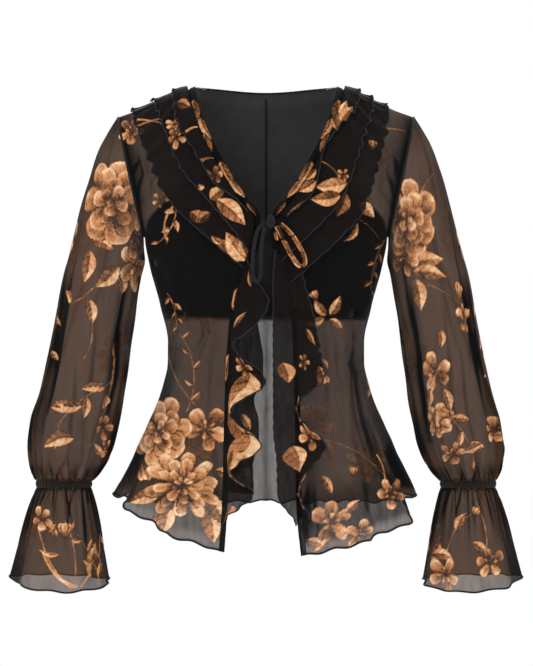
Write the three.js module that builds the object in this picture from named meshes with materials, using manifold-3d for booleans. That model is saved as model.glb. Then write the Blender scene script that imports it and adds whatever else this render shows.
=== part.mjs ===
import * as THREE from "three";
import Module from "manifold-3d";
import { mergeVertices } from "three/addons/utils/BufferGeometryUtils.js";

// Millimetres. The origin is the middle of the shoulders, the front faces -Y and the left sleeve is at +X.

// Walls, seams and steps between layers
const bodyWall = 1.2;
const ruffleWall = 1.0;
const liningWall = 1.0;
const seamGap = 0.3;
const layerStep = 1.85;
const layerSpread = 1.8;
const liningInset = 2.2;
const liningInsetTop = 2.8;

// Body block
const chestZ = -185;
const shoulderX = 182;
const shoulderDrop = 38;
const neckX = 87;
const underarmX = 150;
const armholeDepth = 55;
const backNeckRise = 0.714;
const backNeckBow = 0.55;
const sectionPower = 2.3;
const bustFullness = 0.74;
const roundness = { front: 2, back: 2.6 };
const flutesRound = 6;

// One row a height: half width of the outline, depth in front and behind, and depth of the flutes
const torsoRows = [
  { z: -600, half: 214, front: 150, back: 146, flute: 9 },
  { z: -507, half: 188.5, front: 137, back: 133, flute: 8 },
  { z: -474, half: 172.5, front: 128, back: 126, flute: 7 },
  { z: -438, half: 155.7, front: 118, back: 116, flute: 4.5 },
  { z: -403, half: 140, front: 107, back: 103, flute: 2.5 },
  { z: -368, half: 127, front: 97, back: 91, flute: 1.2 },
  { z: -341, half: 122, front: 92, back: 85, flute: 0.6 },
  { z: -316, half: 122, front: 92, back: 84, flute: 0.3 },
  { z: -272, half: 130.5, front: 103, back: 90, flute: 0 },
  { z: -217, half: 145, front: 116, back: 101, flute: 0 },
  { z: -185, half: 150, front: 118, back: 106, flute: 0 },
];

// Lower edge of the left front, the right front and the backs against the share of the half width
const hemRows = [
  { share: 0, left: -574, right: -571, back: -522 },
  { share: 0.27, left: -569, right: -566, back: -522 },
  { share: 0.43, left: -562, right: -555, back: -522 },
  { share: 0.6, left: -553, right: -545, back: -521 },
  { share: 0.76, left: -545, right: -532, back: -520 },
  { share: 0.89, left: -533, right: -518, back: -516 },
  { share: 1, left: -506, right: -506, back: -506 },
];

// Front edge of each side, from the hem up the opening and the V neck to the shoulder
const edgeRows = [
  { z: -600, right: 51, left: 44 },
  { z: -577, right: 50, left: 42 },
  { z: -512, right: 46, left: 36 },
  { z: -380, right: 43, left: 34 },
  { z: -300, right: 38, left: 31 },
  { z: -260, right: 32, left: 27 },
  { z: -225, right: 21, left: 18 },
  { z: -190, right: 6.5, left: 6.5 },
  { z: -165, right: 7, left: 7 },
  { z: -144, right: 22, left: 22 },
  { z: -115, right: 41, left: 41 },
  { z: -88, right: 56, left: 56 },
  { z: -67, right: 67, left: 67 },
  { z: -35, right: 79, left: 79 },
  { z: 0, right: 87, left: 87 },
];
const neckBandWidth = 8;
const frontBandWidth = 7;
const bandJoin = { from: 0.98, to: 1.1, gap: 0.004 };
const bindingWidth = 5;

// Lower edge and armhole of the short lining
const liningHemZ = -285;
const liningTop = { front: 1.96, back: 1.93, underBinding: 0.03 };
const liningArmRows = [
  { z: -185, x: 150 },
  { z: -171, x: 146 },
  { z: -145, x: 122 },
  { z: -128, x: 103 },
  { z: -100, x: 97 },
  { z: -60, x: 99 },
  { z: 0, x: 112 },
];

// Sleeve sections from the armhole to the wrist: outer and inner line, half depth, gather depth
const sleeveRows = [
  { outerX: 184, outerZ: -38.4, innerX: 151.8, innerZ: -185.4, depth: 55, shiftY: 0, gather: 0 },
  { outerX: 203, outerZ: -69, innerX: 151.2, innerZ: -201, depth: 57, shiftY: 0, gather: 0 },
  { outerX: 217, outerZ: -107, innerX: 149.8, innerZ: -216, depth: 59, shiftY: -1, gather: 0 },
  { outerX: 229, outerZ: -150, innerX: 153.5, innerZ: -236, depth: 60, shiftY: -2, gather: 0.5 },
  { outerX: 240, outerZ: -196, innerX: 158.5, innerZ: -266, depth: 60, shiftY: -3, gather: 0.8 },
  { outerX: 251, outerZ: -240, innerX: 163, innerZ: -294, depth: 59, shiftY: -5, gather: 1 },
  { outerX: 259, outerZ: -285, innerX: 167.5, innerZ: -324, depth: 58, shiftY: -7, gather: 1.2 },
  { outerX: 267.5, outerZ: -332, innerX: 173, innerZ: -360, depth: 58, shiftY: -10, gather: 1.5 },
  { outerX: 278, outerZ: -378, innerX: 179, innerZ: -396, depth: 58, shiftY: -12, gather: 1.8 },
  { outerX: 288.5, outerZ: -413, innerX: 185, innerZ: -424, depth: 57, shiftY: -14, gather: 2.2 },
  { outerX: 291, outerZ: -440, innerX: 191, innerZ: -445, depth: 54, shiftY: -16, gather: 2.8 },
  { outerX: 289.5, outerZ: -459, innerX: 198, innerZ: -462, depth: 49, shiftY: -17, gather: 3.2 },
  { outerX: 287, outerZ: -474, innerX: 206.5, innerZ: -476, depth: 40, shiftY: -18, gather: 2.6 },
  { outerX: 283.4, outerZ: -486, innerX: 214.8, innerZ: -487.2, depth: 27, shiftY: -18, gather: 0.9 },
];
const gathersRound = 12;

// Wrist casing and flared cuff
const wrist = { x: 249.2, y: -18, z: -491.2, half: 33.6, depth: 27, height: 7, wall: 1.8 };
const cuff = { x: 252.5, y: -20, topZ: -495.3, hemZ: -605, half: 59.5, depth: 52, waves: 7, wave: 3 };
const cuffHem = { flare: 0.8, innerSag: 4.5, frontDrop: 12 };

// Free edges of the three collar ruffles, from the shoulder down, one row a station
const collarRows = {
  right: {
    inner: [
      { x: 114, z: -11 },
      { x: 104, z: -52 },
      { x: 85, z: -86 },
      { x: 74, z: -104 },
      { x: 59, z: -128 },
      { x: 34, z: -146 },
      { x: 21, z: -160 },
    ],
    middle: [
      { x: 142, z: -22 },
      { x: 122, z: -54 },
      { x: 110, z: -84 },
      { x: 93, z: -117 },
      { x: 72, z: -141 },
      { x: 46, z: -172 },
      { x: 20, z: -207 },
    ],
    outer: [
      { x: 165, z: -31 },
      { x: 149, z: -73 },
      { x: 130, z: -113 },
      { x: 117, z: -139 },
      { x: 90, z: -170 },
      { x: 58, z: -199 },
      { x: 27, z: -226 },
    ],
  },
  left: {
    inner: [
      { x: 113, z: -10 },
      { x: 105, z: -38 },
      { x: 84, z: -62 },
      { x: 68, z: -86 },
      { x: 62, z: -112 },
      { x: 54, z: -138 },
      { x: 24, z: -166 },
    ],
    middle: [
      { x: 128, z: -16 },
      { x: 124, z: -46 },
      { x: 112, z: -78 },
      { x: 102, z: -108 },
      { x: 90, z: -140 },
      { x: 60, z: -177 },
      { x: 18, z: -218 },
    ],
    outer: [
      { x: 145, z: -23 },
      { x: 143, z: -66 },
      { x: 132, z: -100 },
      { x: 121, z: -136 },
      { x: 106, z: -168 },
      { x: 72, z: -203 },
      { x: 30, z: -242 },
    ],
  },
};
const collarTiers = [
  { tier: "outer", step: 0, seamEnd: -212, growth: 0.06 },
  { tier: "middle", step: 1, seamEnd: -190, growth: 0.075 },
  { tier: "inner", step: 2, seamEnd: -163, growth: 0.1 },
];
const collarWave = { depth: 2.8, along: 7, across: 1.2, full: 60, run: 165, rise: 0.04, press: 0.8 };
const shoulderRowZ = -32;

// Cascades down the front edges: where each fold of the free edge stands, the flap on the other side
// of the seam, and the layer under the folds
const cascadeRows = {
  right: {
    folds: [
      { z: -205, x: 24 },
      { z: -240, x: 12 },
      { z: -266, x: -3 },
      { z: -320, x: 35 },
      { z: -366, x: 1 },
      { z: -410, x: 37 },
      { z: -442, x: 6 },
      { z: -480, x: 33 },
      { z: -500, x: 14 },
      { z: -543, x: 44 },
    ],
    flap: null,
    under: [
      { z: -225, x: 18 },
      { z: -262, x: 14 },
      { z: -295, x: 10.3 },
      { z: -317, x: 6.7 },
      { z: -335, x: 4 },
      { z: -360, x: 4 },
      { z: -388, x: 15 },
      { z: -413, x: 9.3 },
      { z: -437, x: 9 },
      { z: -465, x: 16 },
      { z: -500, x: 15 },
    ],
  },
  left: {
    folds: [
      { z: -205, x: 34 },
      { z: -233, x: 43 },
      { z: -270, x: 51 },
      { z: -323, x: 58 },
      { z: -364, x: 64 },
      { z: -403, x: 30 },
      { z: -444, x: 71 },
      { z: -500, x: 30 },
      { z: -536, x: 46 },
    ],
    flap: [
      { z: -205, x: 11 },
      { z: -240, x: 8.6 },
      { z: -424, x: 8.6 },
      { z: -460, x: 12 },
      { z: -500, x: 13 },
      { z: -536, x: 33 },
    ],
    under: null,
  },
};
const cascade = { seamTop: -198, seamEnd: -528, width: 46, widthEnd: 32, lift: 3.2, underLift: 1.4 };
const cascadeFold = { forward: 0.5, swing: 1.4, openFrom: 0.13, openTo: 0.26, flapLift: 1.5, flapShare: 0.4 };

// Tie at the bust: centre lines of the straps, seen from the front
const tie = {
  strapWide: 5.6,
  strapThick: 2,
  narrowWide: 4.2,
  lift: 12,
  knot: { x: 5.7, z: -172, wide: 10, high: 16, thick: 7 },
  loopLeft: [
    { x: 12.2, z: -171 },
    { x: 21, z: -178 },
    { x: 31, z: -188 },
    { x: 40, z: -202 },
    { x: 46, z: -215 },
    { x: 46, z: -223 },
    { x: 40.5, z: -225 },
    { x: 32, z: -215 },
    { x: 24, z: -200 },
    { x: 17.5, z: -187 },
    { x: 12.4, z: -177.4 },
  ],
  loopRight: [
    { x: -1.4, z: -171 },
    { x: -9.5, z: -182 },
    { x: -14, z: -200 },
    { x: -16, z: -222 },
    { x: -14.6, z: -240 },
    { x: -10.4, z: -244 },
    { x: -6.6, z: -236 },
    { x: -6, z: -216 },
    { x: -5, z: -196 },
    { x: -1.6, z: -178.6 },
  ],
  tailLeft: [
    { x: 9.6, z: -182.4 },
    { x: 11.6, z: -188 },
    { x: 12.8, z: -195 },
  ],
};

// Grid sizes of the walls
const grid = {
  panelAcross: 8,
  panelLow: 14,
  panelHigh: 8,
  backNeck: 8,
  backArm: 4,
  liningAcross: 6,
  liningLow: 3,
  collarAlong: 30,
  collarAcross: 3,
  cascadeAlong: 36,
  cascadeAcross: 3,
  underAcross: 2,
  underAlong: 26,
  strapAlong: 18,
  tailAlong: 6,
  wristRound: 24,
  sleeveRound: 36,
  sleeveAlong: 11,
  cuffRound: 36,
  cuffAlong: 3,
};

const looks = {
  sheer: { colour: 0x3a3430, roughness: 0.72 },
  sleeve: { colour: 0x463c36, roughness: 0.7 },
  lining: { colour: 0x0f0f10, roughness: 0.8 },
  ruffle: { colour: 0x2b2624, roughness: 0.75 },
  band: { colour: 0x5a4332, roughness: 0.7 },
  binding: { colour: 0x121212, roughness: 0.75 },
  tie: { colour: 0x6e4f38, roughness: 0.7 },
};

const wasm = await Module();
wasm.setup();

const garment = new THREE.Group();
garment.name = "blouse";

// Smooth value of a column between the rows of a table, held at both ends.
function readRow(rows, key, at, column) {
  const rising = rows[rows.length - 1][key] > rows[0][key];
  const list = rising ? rows : rows.slice().reverse();
  const last = list.length - 1;
  if (at <= list[0][key]) return list[0][column];
  if (at >= list[last][key]) return list[last][column];
  let k = 0;
  while (list[k + 1][key] < at) k += 1;
  const slope = (a, b) => (list[b][column] - list[a][column]) / (list[b][key] - list[a][key]);
  const here = slope(k, k + 1);
  const before = k > 0 ? slope(k - 1, k) : here;
  const after = k + 2 <= last ? slope(k + 1, k + 2) : here;
  const startSlope = before * here > 0 ? (2 * before * here) / (before + here) : 0;
  const endSlope = after * here > 0 ? (2 * after * here) / (after + here) : 0;
  const span = list[k + 1][key] - list[k][key];
  const f = (at - list[k][key]) / span;
  const g = 1 - f;
  const ends = list[k][column] * g * g * (1 + 2 * f) + list[k + 1][column] * f * f * (3 - 2 * f);
  return ends + span * (startSlope * f * g * g - endSlope * f * f * g);
}

function ramp(from, to, at) {
  const f = Math.min(Math.max((at - from) / (to - from), 0), 1);
  return f * f * (3 - 2 * f);
}

function power(value, exponent) {
  return Math.sign(value) * Math.abs(value) ** exponent;
}

// Height of the shoulder line over a distance from the middle: straight outside the neck, rounded over it.
function shoulderZ(x) {
  const slope = shoulderDrop / (shoulderX - neckX);
  if (x >= neckX) return -slope * (x - neckX);
  return (slope * (neckX ** 2 - x ** 2)) / (2 * neckX);
}

// Lower edge of the body form at a share of its half width.
function hemHeight(side, face, share) {
  return readRow(hemRows, "share", share, face === "front" ? sideName(side) : face);
}

// Body form. across runs 0 at the centre line to 1 at the side seam or armhole.
// up runs 0 at the hem, 1 at the chest line and 2 at the shoulder seam.
// side is 1 for left and -1 for right; face is "front" or "back".
function bodyPoint(side, face, across, up) {
  const towards = face === "front" ? -1 : 1;
  const turn = (Math.PI / 2) * across;
  const wide = power(Math.sin(turn), 2 / sectionPower);
  const deep = power(Math.cos(turn), 2 / sectionPower);
  const chestDepth = readRow(torsoRows, "z", chestZ, face);
  if (up <= 1) {
    const hemZ = hemHeight(side, face, Math.abs(wide));
    const z = hemZ + (chestZ - hemZ) * up;
    const flute = readRow(torsoRows, "z", z, "flute");
    const half = readRow(torsoRows, "z", z, "half");
    const depth = readRow(torsoRows, "z", z, face);
    const dip = (flute * (1 - Math.cos(flutesRound * Math.PI * (1 - Math.abs(across))))) / half;
    const y = towards * depth * deep * (1 - dip);
    return new THREE.Vector3(side * half * wide * (1 - dip), y, z);
  }
  const rise = up - 1;
  const shape = roundness[face];
  const fall = (1 - Math.sin((Math.PI / 2) * rise) ** shape) ** (1 / shape);
  const middle = (1 - Math.sin(Math.PI / 4) ** shape) ** (1 / shape);
  const top = shoulderZ(Math.abs(across) * shoulderX);
  const edge = Math.abs(across) ** 3;
  const climb = (1 - edge) * Math.sin((Math.PI / 2) * rise) + (edge * (1 - Math.cos(Math.PI * rise))) / 2;
  const z = chestZ + (top - chestZ) * climb;
  const armLine = (z - chestZ) / (-shoulderDrop - chestZ);
  const armX = underarmX + (shoulderX - underarmX) * Math.min(armLine, 1);
  const blend = ramp(0, 0.7, rise);
  const x = armX * ((1 - blend) * wide + blend * across);
  const bust = bustFullness * chestDepth;
  const halfway = bust + (armholeDepth - bust) * across ** 2;
  const dip = halfway - middle * chestDepth * deep;
  const depth = chestDepth * deep * fall + dip * Math.sin(Math.PI * rise);
  return new THREE.Vector3(side * x, towards * depth, z);
}

// Outward direction of the body form, from small steps on it.
function bodyNormal(side, face, across, up) {
  const step = 0.002;
  const low = Math.max(up - step, 0);
  const high = Math.min(up + step, 2);
  const inside = Math.min(across, 1) - step;
  const along = bodyPoint(side, face, inside + step, high).sub(bodyPoint(side, face, inside + step, low));
  const over = bodyPoint(side, face, Math.min(inside + 2 * step, 1), up);
  over.sub(bodyPoint(side, face, inside, up));
  const normal = over.cross(along).normalize();
  const outward = side * (face === "front" ? 1 : -1);
  return normal.multiplyScalar(outward);
}

// Place on the body form that stands at a given x (from the middle) and height.
function bodyPlace(face, x, z) {
  let across = x / 160;
  let up = z > chestZ ? 1 + (2 / Math.PI) * Math.asin(Math.min((z - chestZ) / -chestZ, 0.98)) : 0.7;
  for (let k = 0; k < 30; k += 1) {
    const here = bodyPoint(1, face, across, up);
    const step = 1e-4;
    const a = bodyPoint(1, face, across + step, up).sub(here).divideScalar(step);
    const u = bodyPoint(1, face, across, up - step).sub(here).divideScalar(-step);
    const dx = x - here.x;
    const dz = z - here.z;
    const size = a.x * u.z - a.z * u.x;
    across += THREE.MathUtils.clamp((dx * u.z - dz * u.x) / size, -0.2, 0.2);
    up += THREE.MathUtils.clamp((a.x * dz - a.z * dx) / size, -0.2, 0.2);
    across = THREE.MathUtils.clamp(across, -0.6, 0.998);
    up = THREE.MathUtils.clamp(up, 0.001, 1.97);
  }
  return { across, up };
}

// Place across the front where the front edge, moved out by some width, crosses a given height step.
function edgeAcross(side, up, width) {
  const column = side > 0 ? "left" : "right";
  let low = 0;
  let high = 0.98;
  for (let k = 0; k < 40; k += 1) {
    const middle = (low + high) / 2;
    const point = bodyPoint(1, "front", middle, up);
    const slope = readRow(edgeRows, "z", point.z - 3, column) - readRow(edgeRows, "z", point.z + 3, column);
    const slant = Math.hypot(1, slope / 6);
    const edge = readRow(edgeRows, "z", point.z, column) + width * slant;
    if (point.x < edge) low = middle;
    else high = middle;
  }
  return low;
}

function sideName(side) {
  return side > 0 ? "left" : "right";
}

function material(look) {
  return new THREE.MeshStandardMaterial({ color: look.colour, roughness: look.roughness, metalness: 0 });
}

function addMesh(name, geometry, look) {
  const mesh = new THREE.Mesh(geometry, material(look));
  mesh.name = name;
  garment.add(mesh);
  return mesh;
}

// Six times the signed volume of a closed triangle list.
function signedVolume(positions, triangles) {
  let total = 0;
  const corner = (k) => new THREE.Vector3().fromArray(positions, 3 * k);
  for (let k = 0; k < triangles.length; k += 3) {
    const cross = corner(triangles[k + 1]).cross(corner(triangles[k + 2]));
    total += corner(triangles[k]).dot(cross);
  }
  return total;
}

// Closed wall on a sheet u, v in 0..1: the sheet's points moved out and in by half the wall.
// A sheet that is closed in u wraps round and is rimmed at v = 0 and v = 1 only.
function wallGeometry(surface, across, along, wall, closed = false) {
  const columns = closed ? across : across + 1;
  const step = 1e-3;
  const positions = [];
  for (let face = 0; face < 2; face += 1) {
    for (let j = 0; j <= along; j += 1) {
      for (let i = 0; i < columns; i += 1) {
        const u = i / across;
        const v = j / along;
        const lowU = closed ? u - step : Math.max(u - step, 0);
        const highU = closed ? u + step : Math.min(u + step, 1);
        const overU = surface(highU, v).sub(surface(lowU, v));
        const overV = surface(u, Math.min(v + step, 1)).sub(surface(u, Math.max(v - step, 0)));
        const normal = overU.cross(overV).normalize();
        const point = surface(u, v).addScaledVector(normal, face ? -wall / 2 : wall / 2);
        positions.push(point.x, point.y, point.z);
      }
    }
  }
  const triangles = [];
  const layer = columns * (along + 1);
  const at = (i, j, face) => face * layer + j * columns + (closed ? i % across : i);
  const quad = (a, b, c, d) => triangles.push(a, b, c, a, c, d);
  for (let j = 0; j < along; j += 1) {
    for (let i = 0; i < across; i += 1) {
      quad(at(i, j, 0), at(i + 1, j, 0), at(i + 1, j + 1, 0), at(i, j + 1, 0));
      quad(at(i, j, 1), at(i, j + 1, 1), at(i + 1, j + 1, 1), at(i + 1, j, 1));
    }
  }
  for (let i = 0; i < across; i += 1) {
    quad(at(i, 0, 0), at(i, 0, 1), at(i + 1, 0, 1), at(i + 1, 0, 0));
    quad(at(i, along, 0), at(i + 1, along, 0), at(i + 1, along, 1), at(i, along, 1));
  }
  if (!closed) {
    for (let j = 0; j < along; j += 1) {
      quad(at(0, j, 0), at(0, j + 1, 0), at(0, j + 1, 1), at(0, j, 1));
      quad(at(across, j, 0), at(across, j, 1), at(across, j + 1, 1), at(across, j + 1, 0));
    }
  }
  if (signedVolume(positions, triangles) < 0) triangles.reverse();
  const geometry = new THREE.BufferGeometry();
  geometry.setAttribute("position", new THREE.Float32BufferAttribute(positions, 3));
  geometry.setIndex(triangles);
  geometry.computeVertexNormals();
  return geometry;
}

function solidOf(geometry) {
  const bare = new THREE.BufferGeometry();
  bare.setAttribute("position", geometry.getAttribute("position"));
  bare.setIndex(geometry.index);
  const merged = mergeVertices(bare, 1e-4);
  const vertProperties = new Float32Array(merged.attributes.position.array);
  const triVerts = new Uint32Array(merged.index.array);
  return new wasm.Manifold(new wasm.Mesh({ numProp: 3, vertProperties, triVerts }));
}

function geometryOf(solid) {
  const mesh = solid.getMesh();
  const geometry = new THREE.BufferGeometry();
  geometry.setAttribute("position", new THREE.BufferAttribute(new Float32Array(mesh.vertProperties), 3));
  geometry.setIndex(new THREE.BufferAttribute(new Uint32Array(mesh.triVerts), 1));
  geometry.computeVertexNormals();
  return geometry;
}

// Point off the body form, with half a seam gap between neighbouring pieces.
function offBody(side, face, across, up, lift) {
  const point = bodyPoint(side, face, across, up);
  point.addScaledVector(bodyNormal(side, face, across, up), lift);
  point.x += (side * seamGap) / 2;
  point.y += ((face === "front" ? -1 : 1) * seamGap) / 2;
  return point;
}

// Height step of row v for a panel with a number of rows under and over the chest line.
function upOf(v, low, high, start, end) {
  const chest = low / (low + high);
  if (v <= chest) return start + (1 - start) * (v / chest);
  return 1 + (end - 1) * ((v - chest) / (1 - chest));
}

// Top of the back at a place across it: the shoulder seam, then the neckline.
const neckShare = neckX / shoulderX;
const neckRun = 200;
function backTop(across) {
  if (across >= neckShare) return 2;
  return 2 - (1 - backNeckRise) * Math.sin((Math.PI / 2) * (1 - across / neckShare)) ** backNeckBow;
}

// Columns of the back: some to the end of the neckline, the others out to the armhole.
function backAcross(u) {
  const split = grid.backNeck / (grid.backNeck + grid.backArm);
  if (u <= split) return (neckShare * u) / split;
  return neckShare + ((1 - neckShare) * (u - split)) / (1 - split);
}

// Height step that the binding takes, narrowing to the shoulder.
function bindingDrop(across) {
  const full = 1 - 0.8 * ramp(0.8, 1, across / neckShare);
  return (bindingWidth * full) / neckRun;
}

// Where the lining starts: its hem as a height step of the body form.
function liningStart(side, face, across) {
  const wide = power(Math.sin((Math.PI / 2) * across), 2 / sectionPower);
  const hemZ = hemHeight(side, face, wide);
  return (liningHemZ - hemZ) / (chestZ - hemZ);
}

// Share of the body form that the lining covers at a height step.
function liningReach(up) {
  if (up <= 1) return 1;
  const rows = liningArmRows;
  let low = 0.3;
  let high = 1;
  for (let k = 0; k < 30; k += 1) {
    const middle = (low + high) / 2;
    const point = bodyPoint(1, "front", middle, up);
    if (point.x < readRow(rows, "z", point.z, "x")) low = middle;
    else high = middle;
  }
  return low;
}

// Width of the band on the front edge at a height step: the front band, then the neck band.
function bandWidth(up) {
  return THREE.MathUtils.lerp(frontBandWidth, neckBandWidth, ramp(bandJoin.from, bandJoin.to, up));
}

function addPanels(side) {
  const rows = grid.panelLow + grid.panelHigh;
  const frontSheet = (u, v) => {
    const up = upOf(v, grid.panelLow, grid.panelHigh, 0, 2);
    const start = edgeAcross(side, up, bandWidth(up) + 2 * seamGap);
    return offBody(side, "front", start + (1 - start) * u, up, 0);
  };
  const front = wallGeometry(frontSheet, grid.panelAcross, rows, bodyWall);
  addMesh("front_" + sideName(side), front, looks.sheer);
  const backSheet = (u, v) => {
    const across = backAcross(u);
    const top = across > neckShare + 1e-6 ? 2 : backTop(across) - bindingDrop(across) - seamGap / neckRun;
    return offBody(side, "back", across, upOf(v, grid.panelLow, grid.panelHigh, 0, top), 0);
  };
  const back = wallGeometry(backSheet, grid.backNeck + grid.backArm, rows, bodyWall);
  addMesh("back_" + sideName(side), back, looks.sheer);
}

// How far the lining lies inside the body form, a little more near the shoulder.
function liningDepth(up) {
  return liningInset + liningInsetTop * ramp(1.4, 1.9, up);
}

function addLining() {
  const half = (side) => {
    const rows = grid.liningLow + grid.panelHigh;
    const sheet = (u, v) => {
      const up = upOf(v, grid.liningLow, grid.panelHigh, 0, 2);
      const closing = ramp(0.99, 1.04, up);
      const start = up < 0.99 ? 0 : edgeAcross(side, Math.max(up, 1), 1) * closing;
      const across = start + (liningReach(up) - start) * u;
      const hem = liningStart(side, "front", across);
      const place = up < 1 ? hem + (1 - hem) * up : up;
      const point = offBody(side, "front", across, Math.min(place, liningTop.front), -liningDepth(place));
      if (across === 0) point.x = -side * 0.05;
      return point;
    };
    return solidOf(wallGeometry(sheet, grid.liningAcross, rows, liningWall));
  };
  addMesh("lining_front", geometryOf(half(1).add(half(-1))), looks.lining);
  const rows = grid.liningLow + grid.panelHigh;
  const backSheet = (u, v) => {
    const across = 2 * u - 1;
    const side = across < 0 ? -1 : 1;
    const up = upOf(v, grid.liningLow, grid.panelHigh, 0, 2);
    const share = Math.abs(across) * liningReach(up);
    const hem = liningStart(side, "back", share);
    const rise = backTop(share) - 1 - liningTop.underBinding;
    const place = up < 1 ? hem + (1 - hem) * up : 1 + (up - 1) * rise;
    return offBody(side, "back", share, Math.min(place, liningTop.back), -liningDepth(place));
  };
  addMesh("lining_back", wallGeometry(backSheet, 2 * grid.liningAcross, rows, liningWall), looks.lining);
}

function addBands(side) {
  const rows = grid.panelLow + grid.panelHigh;
  const joinRow = (grid.panelLow + 1) / rows;
  const join = upOf(joinRow, grid.panelLow, grid.panelHigh, 0, 2);
  const neckSheet = (u, v) => {
    const up = join + (2 - join) * v;
    return offBody(side, "front", edgeAcross(side, up, neckBandWidth * u), up, 0);
  };
  const neckBand = wallGeometry(neckSheet, 1, grid.panelHigh - 1, bodyWall);
  addMesh("neck_band_" + sideName(side), neckBand, looks.band);
  const frontSheet = (u, v) => {
    const up = Math.min(upOf(v * joinRow, grid.panelLow, grid.panelHigh, 0, 2), join - bandJoin.gap);
    return offBody(side, "front", edgeAcross(side, up, frontBandWidth * u), up, 0);
  };
  const frontBand = wallGeometry(frontSheet, 1, grid.panelLow + 1, bodyWall);
  addMesh("front_band_" + sideName(side), frontBand, looks.band);
}

function addBackBinding() {
  const sheet = (u, v) => {
    const across = Math.abs(2 * u - 1) * neckShare;
    const side = u < 0.5 ? -1 : 1;
    const point = offBody(side, "back", across, backTop(across) - bindingDrop(across) * (1 - v), 0);
    if (across < 1e-6) point.x = 0;
    return point;
  };
  const geometry = wallGeometry(sheet, 2 * grid.backNeck, 1, bodyWall);
  addMesh("back_neck_binding", geometry, looks.binding);
}

// Height step of the front at a height on the front edge.
function seamUp(side, z) {
  let low = 0;
  let high = 2;
  for (let k = 0; k < 40; k += 1) {
    const middle = (low + high) / 2;
    const point = bodyPoint(side, "front", edgeAcross(side, middle, bandWidth(middle)), middle);
    if (point.z < z) low = middle;
    else high = middle;
  }
  return low;
}

function seamAcross(side, up) {
  return edgeAcross(side, up, bandWidth(up) + 2 * seamGap);
}

// Free edge of a ruffle as places on the body form, a smooth line through its rows.
function edgeCurve(rows) {
  const places = rows.map((row, k) => {
    if (k === 0 && row.z > shoulderRowZ) return new THREE.Vector3(row.x / shoulderX, 2, 0);
    const place = bodyPlace("front", row.x, row.z);
    return new THREE.Vector3(place.across, place.up, 0);
  });
  return new THREE.CatmullRomCurve3(places, false, "centripetal");
}

// Height of a collar ruffle over the body form: its place in the stack and its waves, pressed flat
// towards the shoulder.
function collarLift(side, across, up, tier) {
  const distance = Math.max(0, (across - seamAcross(side, up)) * collarWave.run);
  const base = bodyWall / 2 + 1.5 * seamGap + ruffleWall / 2;
  const loose = 1 - collarWave.press * ramp(1.7, 2, up);
  const stack = tier.step * (layerStep + loose * layerSpread * ramp(0, 7, distance));
  const overCascade = (cascade.lift + collarWave.rise * distance) * (1 - ramp(0.96, 1.06, up));
  const wave = collarWave.depth * Math.min(distance / collarWave.full, 1.2);
  const turn = 2 * Math.PI * (collarWave.along * (up - 1) + collarWave.across * across);
  return base + stack + overCascade + loose * (tier.growth * distance + (wave * (1 + Math.sin(turn))) / 2);
}

function addCollar(side) {
  collarTiers.forEach((tier) => {
    const free = edgeCurve(collarRows[sideName(side)][tier.tier]);
    const bottom = seamUp(side, tier.seamEnd);
    const sheet = (u, v) => {
      const seamHeight = 2 + (bottom - 2) * v;
      const edge = free.getPoint(v);
      const across = THREE.MathUtils.lerp(seamAcross(side, seamHeight), edge.x, u);
      const up = Math.min(THREE.MathUtils.lerp(seamHeight, edge.y, u), 2);
      return offBody(side, "front", across, up, collarLift(side, across, up, tier));
    };
    const geometry = wallGeometry(sheet, grid.collarAcross, grid.collarAlong, ruffleWall);
    addMesh("collar_" + tier.tier + "_" + sideName(side), geometry, looks.ruffle);
  });
}

// Places on the body form along a list of folds, from its first row to its last.
function foldPlace(rows, v) {
  const z = THREE.MathUtils.lerp(rows[0].z, rows[rows.length - 1].z, v);
  const x = readRow(rows, "z", z, "x");
  return { ...bodyPlace("front", x, z), x };
}

// Place at a height, a width outside the open front edge.
const nearEdgeX = 30;
function cascadeSeam(side, z, width) {
  const { up } = bodyPlace("front", nearEdgeX, z);
  const across = edgeAcross(side, up, width);
  return { up, across, x: bodyPoint(1, "front", across, up).x };
}

// Sheet that hangs from the front edge: its free edge swings between the rows' folds, and where it
// swings back to the seam the spare width stands forward.
function addCascade(side) {
  const rows = cascadeRows[sideName(side)];
  const split = rows.flap === null ? 0 : cascadeFold.flapShare;
  const sheet = (u, v) => {
    const seamZ = THREE.MathUtils.lerp(cascade.seamTop, cascade.seamEnd, v);
    const seam = cascadeSeam(side, seamZ, frontBandWidth / 2);
    const inner = u < split;
    const share = inner ? 1 - u / split : (u - split) / (1 - split);
    const end = foldPlace(inner ? rows.flap : rows.folds, v);
    const wide = THREE.MathUtils.lerp(cascade.width, cascade.widthEnd, v);
    const spare = Math.sqrt(Math.max(wide ** 2 - (end.x - seam.x) ** 2, 0));
    const open = ramp(cascadeFold.openFrom, cascadeFold.openTo, v);
    const swing = cascadeFold.forward * spare * open * share ** cascadeFold.swing;
    const forward = inner ? cascadeFold.flapLift * share : swing;
    const across = THREE.MathUtils.lerp(seam.across, end.across, share);
    const height = THREE.MathUtils.lerp(seam.up, end.up, share);
    return offBody(side, "front", across, height, cascade.lift + forward + 2 * share * open);
  };
  const across = grid.cascadeAcross + (rows.flap === null ? 0 : 2);
  const geometry = wallGeometry(sheet, across, grid.cascadeAlong, ruffleWall);
  addMesh("cascade_" + sideName(side), geometry, looks.ruffle);
  if (rows.under !== null) addCascadeUnder(side, rows.under);
}

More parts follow.
